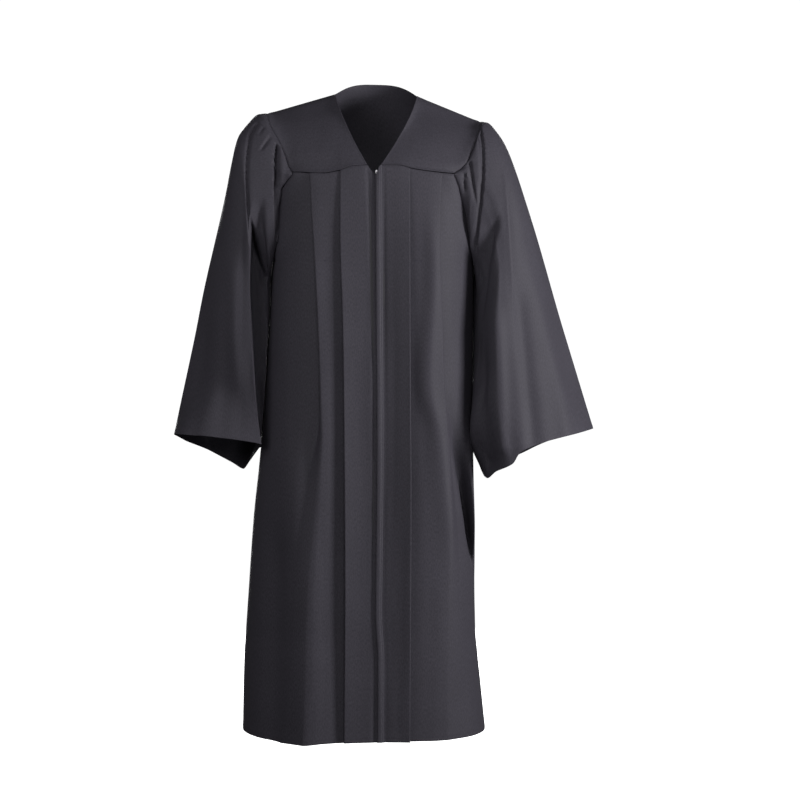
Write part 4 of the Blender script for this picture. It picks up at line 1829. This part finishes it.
def makePull():
    size = zipper["pull"]
    half, tall = size["width"] / 2, size["length"] / 2
    level = zipper["top"] + size["drop"] + tall
    levels = (level - tall, level, level + tall)
    strip, _ = middleStrip(leftSide, levels, [zipper["middle"]], [size["inward"]])
    high, place, low = strip[:, 0]
    small = size["topShare"] * half
    outline = []                # round the top, straight down, round the foot
    for turn in np.linspace(0, math.pi, size["roundSteps"]):
        outline.append((small * math.cos(turn), tall - small * (1 - math.sin(turn))))
    for turn in np.linspace(math.pi, 2 * math.pi, size["roundSteps"]):
        outline.append((half * math.cos(turn), -tall + half * (1 + math.sin(turn))))
    rings = [outline]
    for end, inset, wide, deep in size["holes"]:
        turns = np.linspace(0, 2 * math.pi, size["holeSteps"] + 1)[:-1]
        centre = end * (tall - inset)
        rings.append([(wide * math.cos(turn), centre + deep * math.sin(turn)) for turn in turns])
    shape = bmesh.new()
    edges = []
    for ring in rings:
        verts = [shape.verts.new((x, 0.0, z)) for x, z in ring]
        edges += [shape.edges.new((verts[k], verts[(k + 1) % len(verts)])) for k in range(len(verts))]
    bmesh.ops.triangle_fill(shape, edges=edges, use_beauty=True)
    # closed face by face, because an extrusion lists its faces in another order in each run
    front = [face.verts[:] for face in shape.faces]
    behind = {vert: shape.verts.new(vert.co + Vector((0, size["thick"], 0))) for vert in shape.verts[:]}
    for face in front:
        shape.faces.new([behind[vert] for vert in reversed(face)])
    for start, stop in [edge.verts for edge in edges]:
        shape.faces.new((start, stop, behind[stop], behind[start]))
    bmesh.ops.translate(shape, verts=shape.verts, vec=(0, -size["thick"] / 2, 0))
    lean = (low - high) / (2 * tall)
    for vertex in shape.verts:  # it leans as the front does
        vertex.co.x -= vertex.co.z * lean[0]
        vertex.co.y -= vertex.co.z * lean[1]
    return finishMetal("zip_pull_metal", shape, place, size["bevel"])


tapes = {side: makeTape(side) for side in bothSides}
coil, slider, pull = makeTeeth(), makeSlider(), makePull()
print("gown: zip made")


# what each piece stands for, and the size its cloth is cut to
for side in bothSides:
    name = sideNames[side]
    dress(frontPieces[side][0], gownCloth, "front_" + name)
    dress(frontYokes[side], gownCloth, "yoke_front_" + name)
    dress(sleevePieces[side][0], gownCloth, "sleeve_" + name)
    dress(tapes[side], tapeFinish, "zip_tape_" + name)
dress(backPiece[0], gownCloth, "back")
dress(backYoke, gownCloth, "yoke_back")
dress(flyPiece[0], gownCloth, "fly")
for piece in threads.values():
    dress(piece, threadFinish)
dress(coil, coilFinish, "zip_chain")
dress(slider, metalFinish, "zip_slider")
dress(pull, metalFinish, "zip_pull")


# studio
studio = {
    "camera": (0.048, -5.0, -0.608),
    "lens": 112.5,
    "sensor": 36.0,
    "white": 1.05,
    "ambient": 0.08,
    "floorDown": 1.46,
    "floorSize": 60.0,
    "floorGlow": 0.95,
    "lamps": (                  # place, size, power
        ((1.92, -1.08, -0.12), 0.6, 82.0),
        ((-1.15, -1.65, 0.15), 1.0, 18.0),
        ((0.05, -2.20, 1.05), 0.7, 16.0),
        ((0.50, -2.60, -1.20), 0.8, 9.0),
        ((-0.30, 4.00, 0.20), 2.6, 150.0),
    ),
    "lookAt": (0.0, 0.0, -0.60),
}


def setStudio():
    scene = bpy.context.scene
    white = (1.0, 1.0, 1.0, 1.0)
    half, level = studio["floorSize"] / 2, -studio["floorDown"]
    mesh = bpy.data.meshes.new("floor")
    corners = [(-half, -half, level), (half, -half, level), (half, half, level), (-half, half, level)]
    mesh.from_pydata(corners, [], [(0, 1, 2, 3)])
    material, _, shader = newMaterial("studioFloor", 0.9)
    setInputs(shader, {"Base Color": (0.9, 0.9, 0.9, 1.0), "Emission Color": white})
    setInputs(shader, {"Emission Strength": studio["floorGlow"]})
    mesh.materials.append(material)
    floor = newPiece("floor", mesh)
    floor.visible_diffuse = floor.visible_glossy = False
    scene.world = bpy.data.worlds.new("studio")
    scene.world.use_nodes = True
    tree = scene.world.node_tree
    sky, seen = tree.nodes["Background"], newNode(tree, "ShaderNodeLightPath")
    setInputs(sky, {"Color": white})
    glow = newNode(tree, "ShaderNodeMapRange", {"To Min": studio["ambient"], "To Max": studio["white"]})
    joinNodes(tree, (seen, "Is Camera Ray", glow, "Value"), (glow, "Result", sky, "Strength"))
    target = np.array(studio["lookAt"])
    for number, (place, size, power) in enumerate(studio["lamps"]):
        lamp = bpy.data.lights.new("softbox%d" % number, "AREA")
        lamp.shape, lamp.size, lamp.energy = "SQUARE", size, power
        box = newPiece("softbox%d" % number, lamp)
        box.location = place
        box.visible_camera = False
        box.rotation_euler = Vector(target - np.array(place)).to_track_quat("-Z", "Y").to_euler()
    lens = bpy.data.cameras.new("camera")
    lens.lens, lens.sensor_width = studio["lens"], studio["sensor"]
    camera = newPiece("camera", lens)
    camera.location = studio["camera"]
    camera.rotation_euler = (math.radians(90), 0.0, 0.0)
    scene.camera = camera
    scene.view_settings.view_transform = "Standard"


setStudio()
print("gown: studio lit")
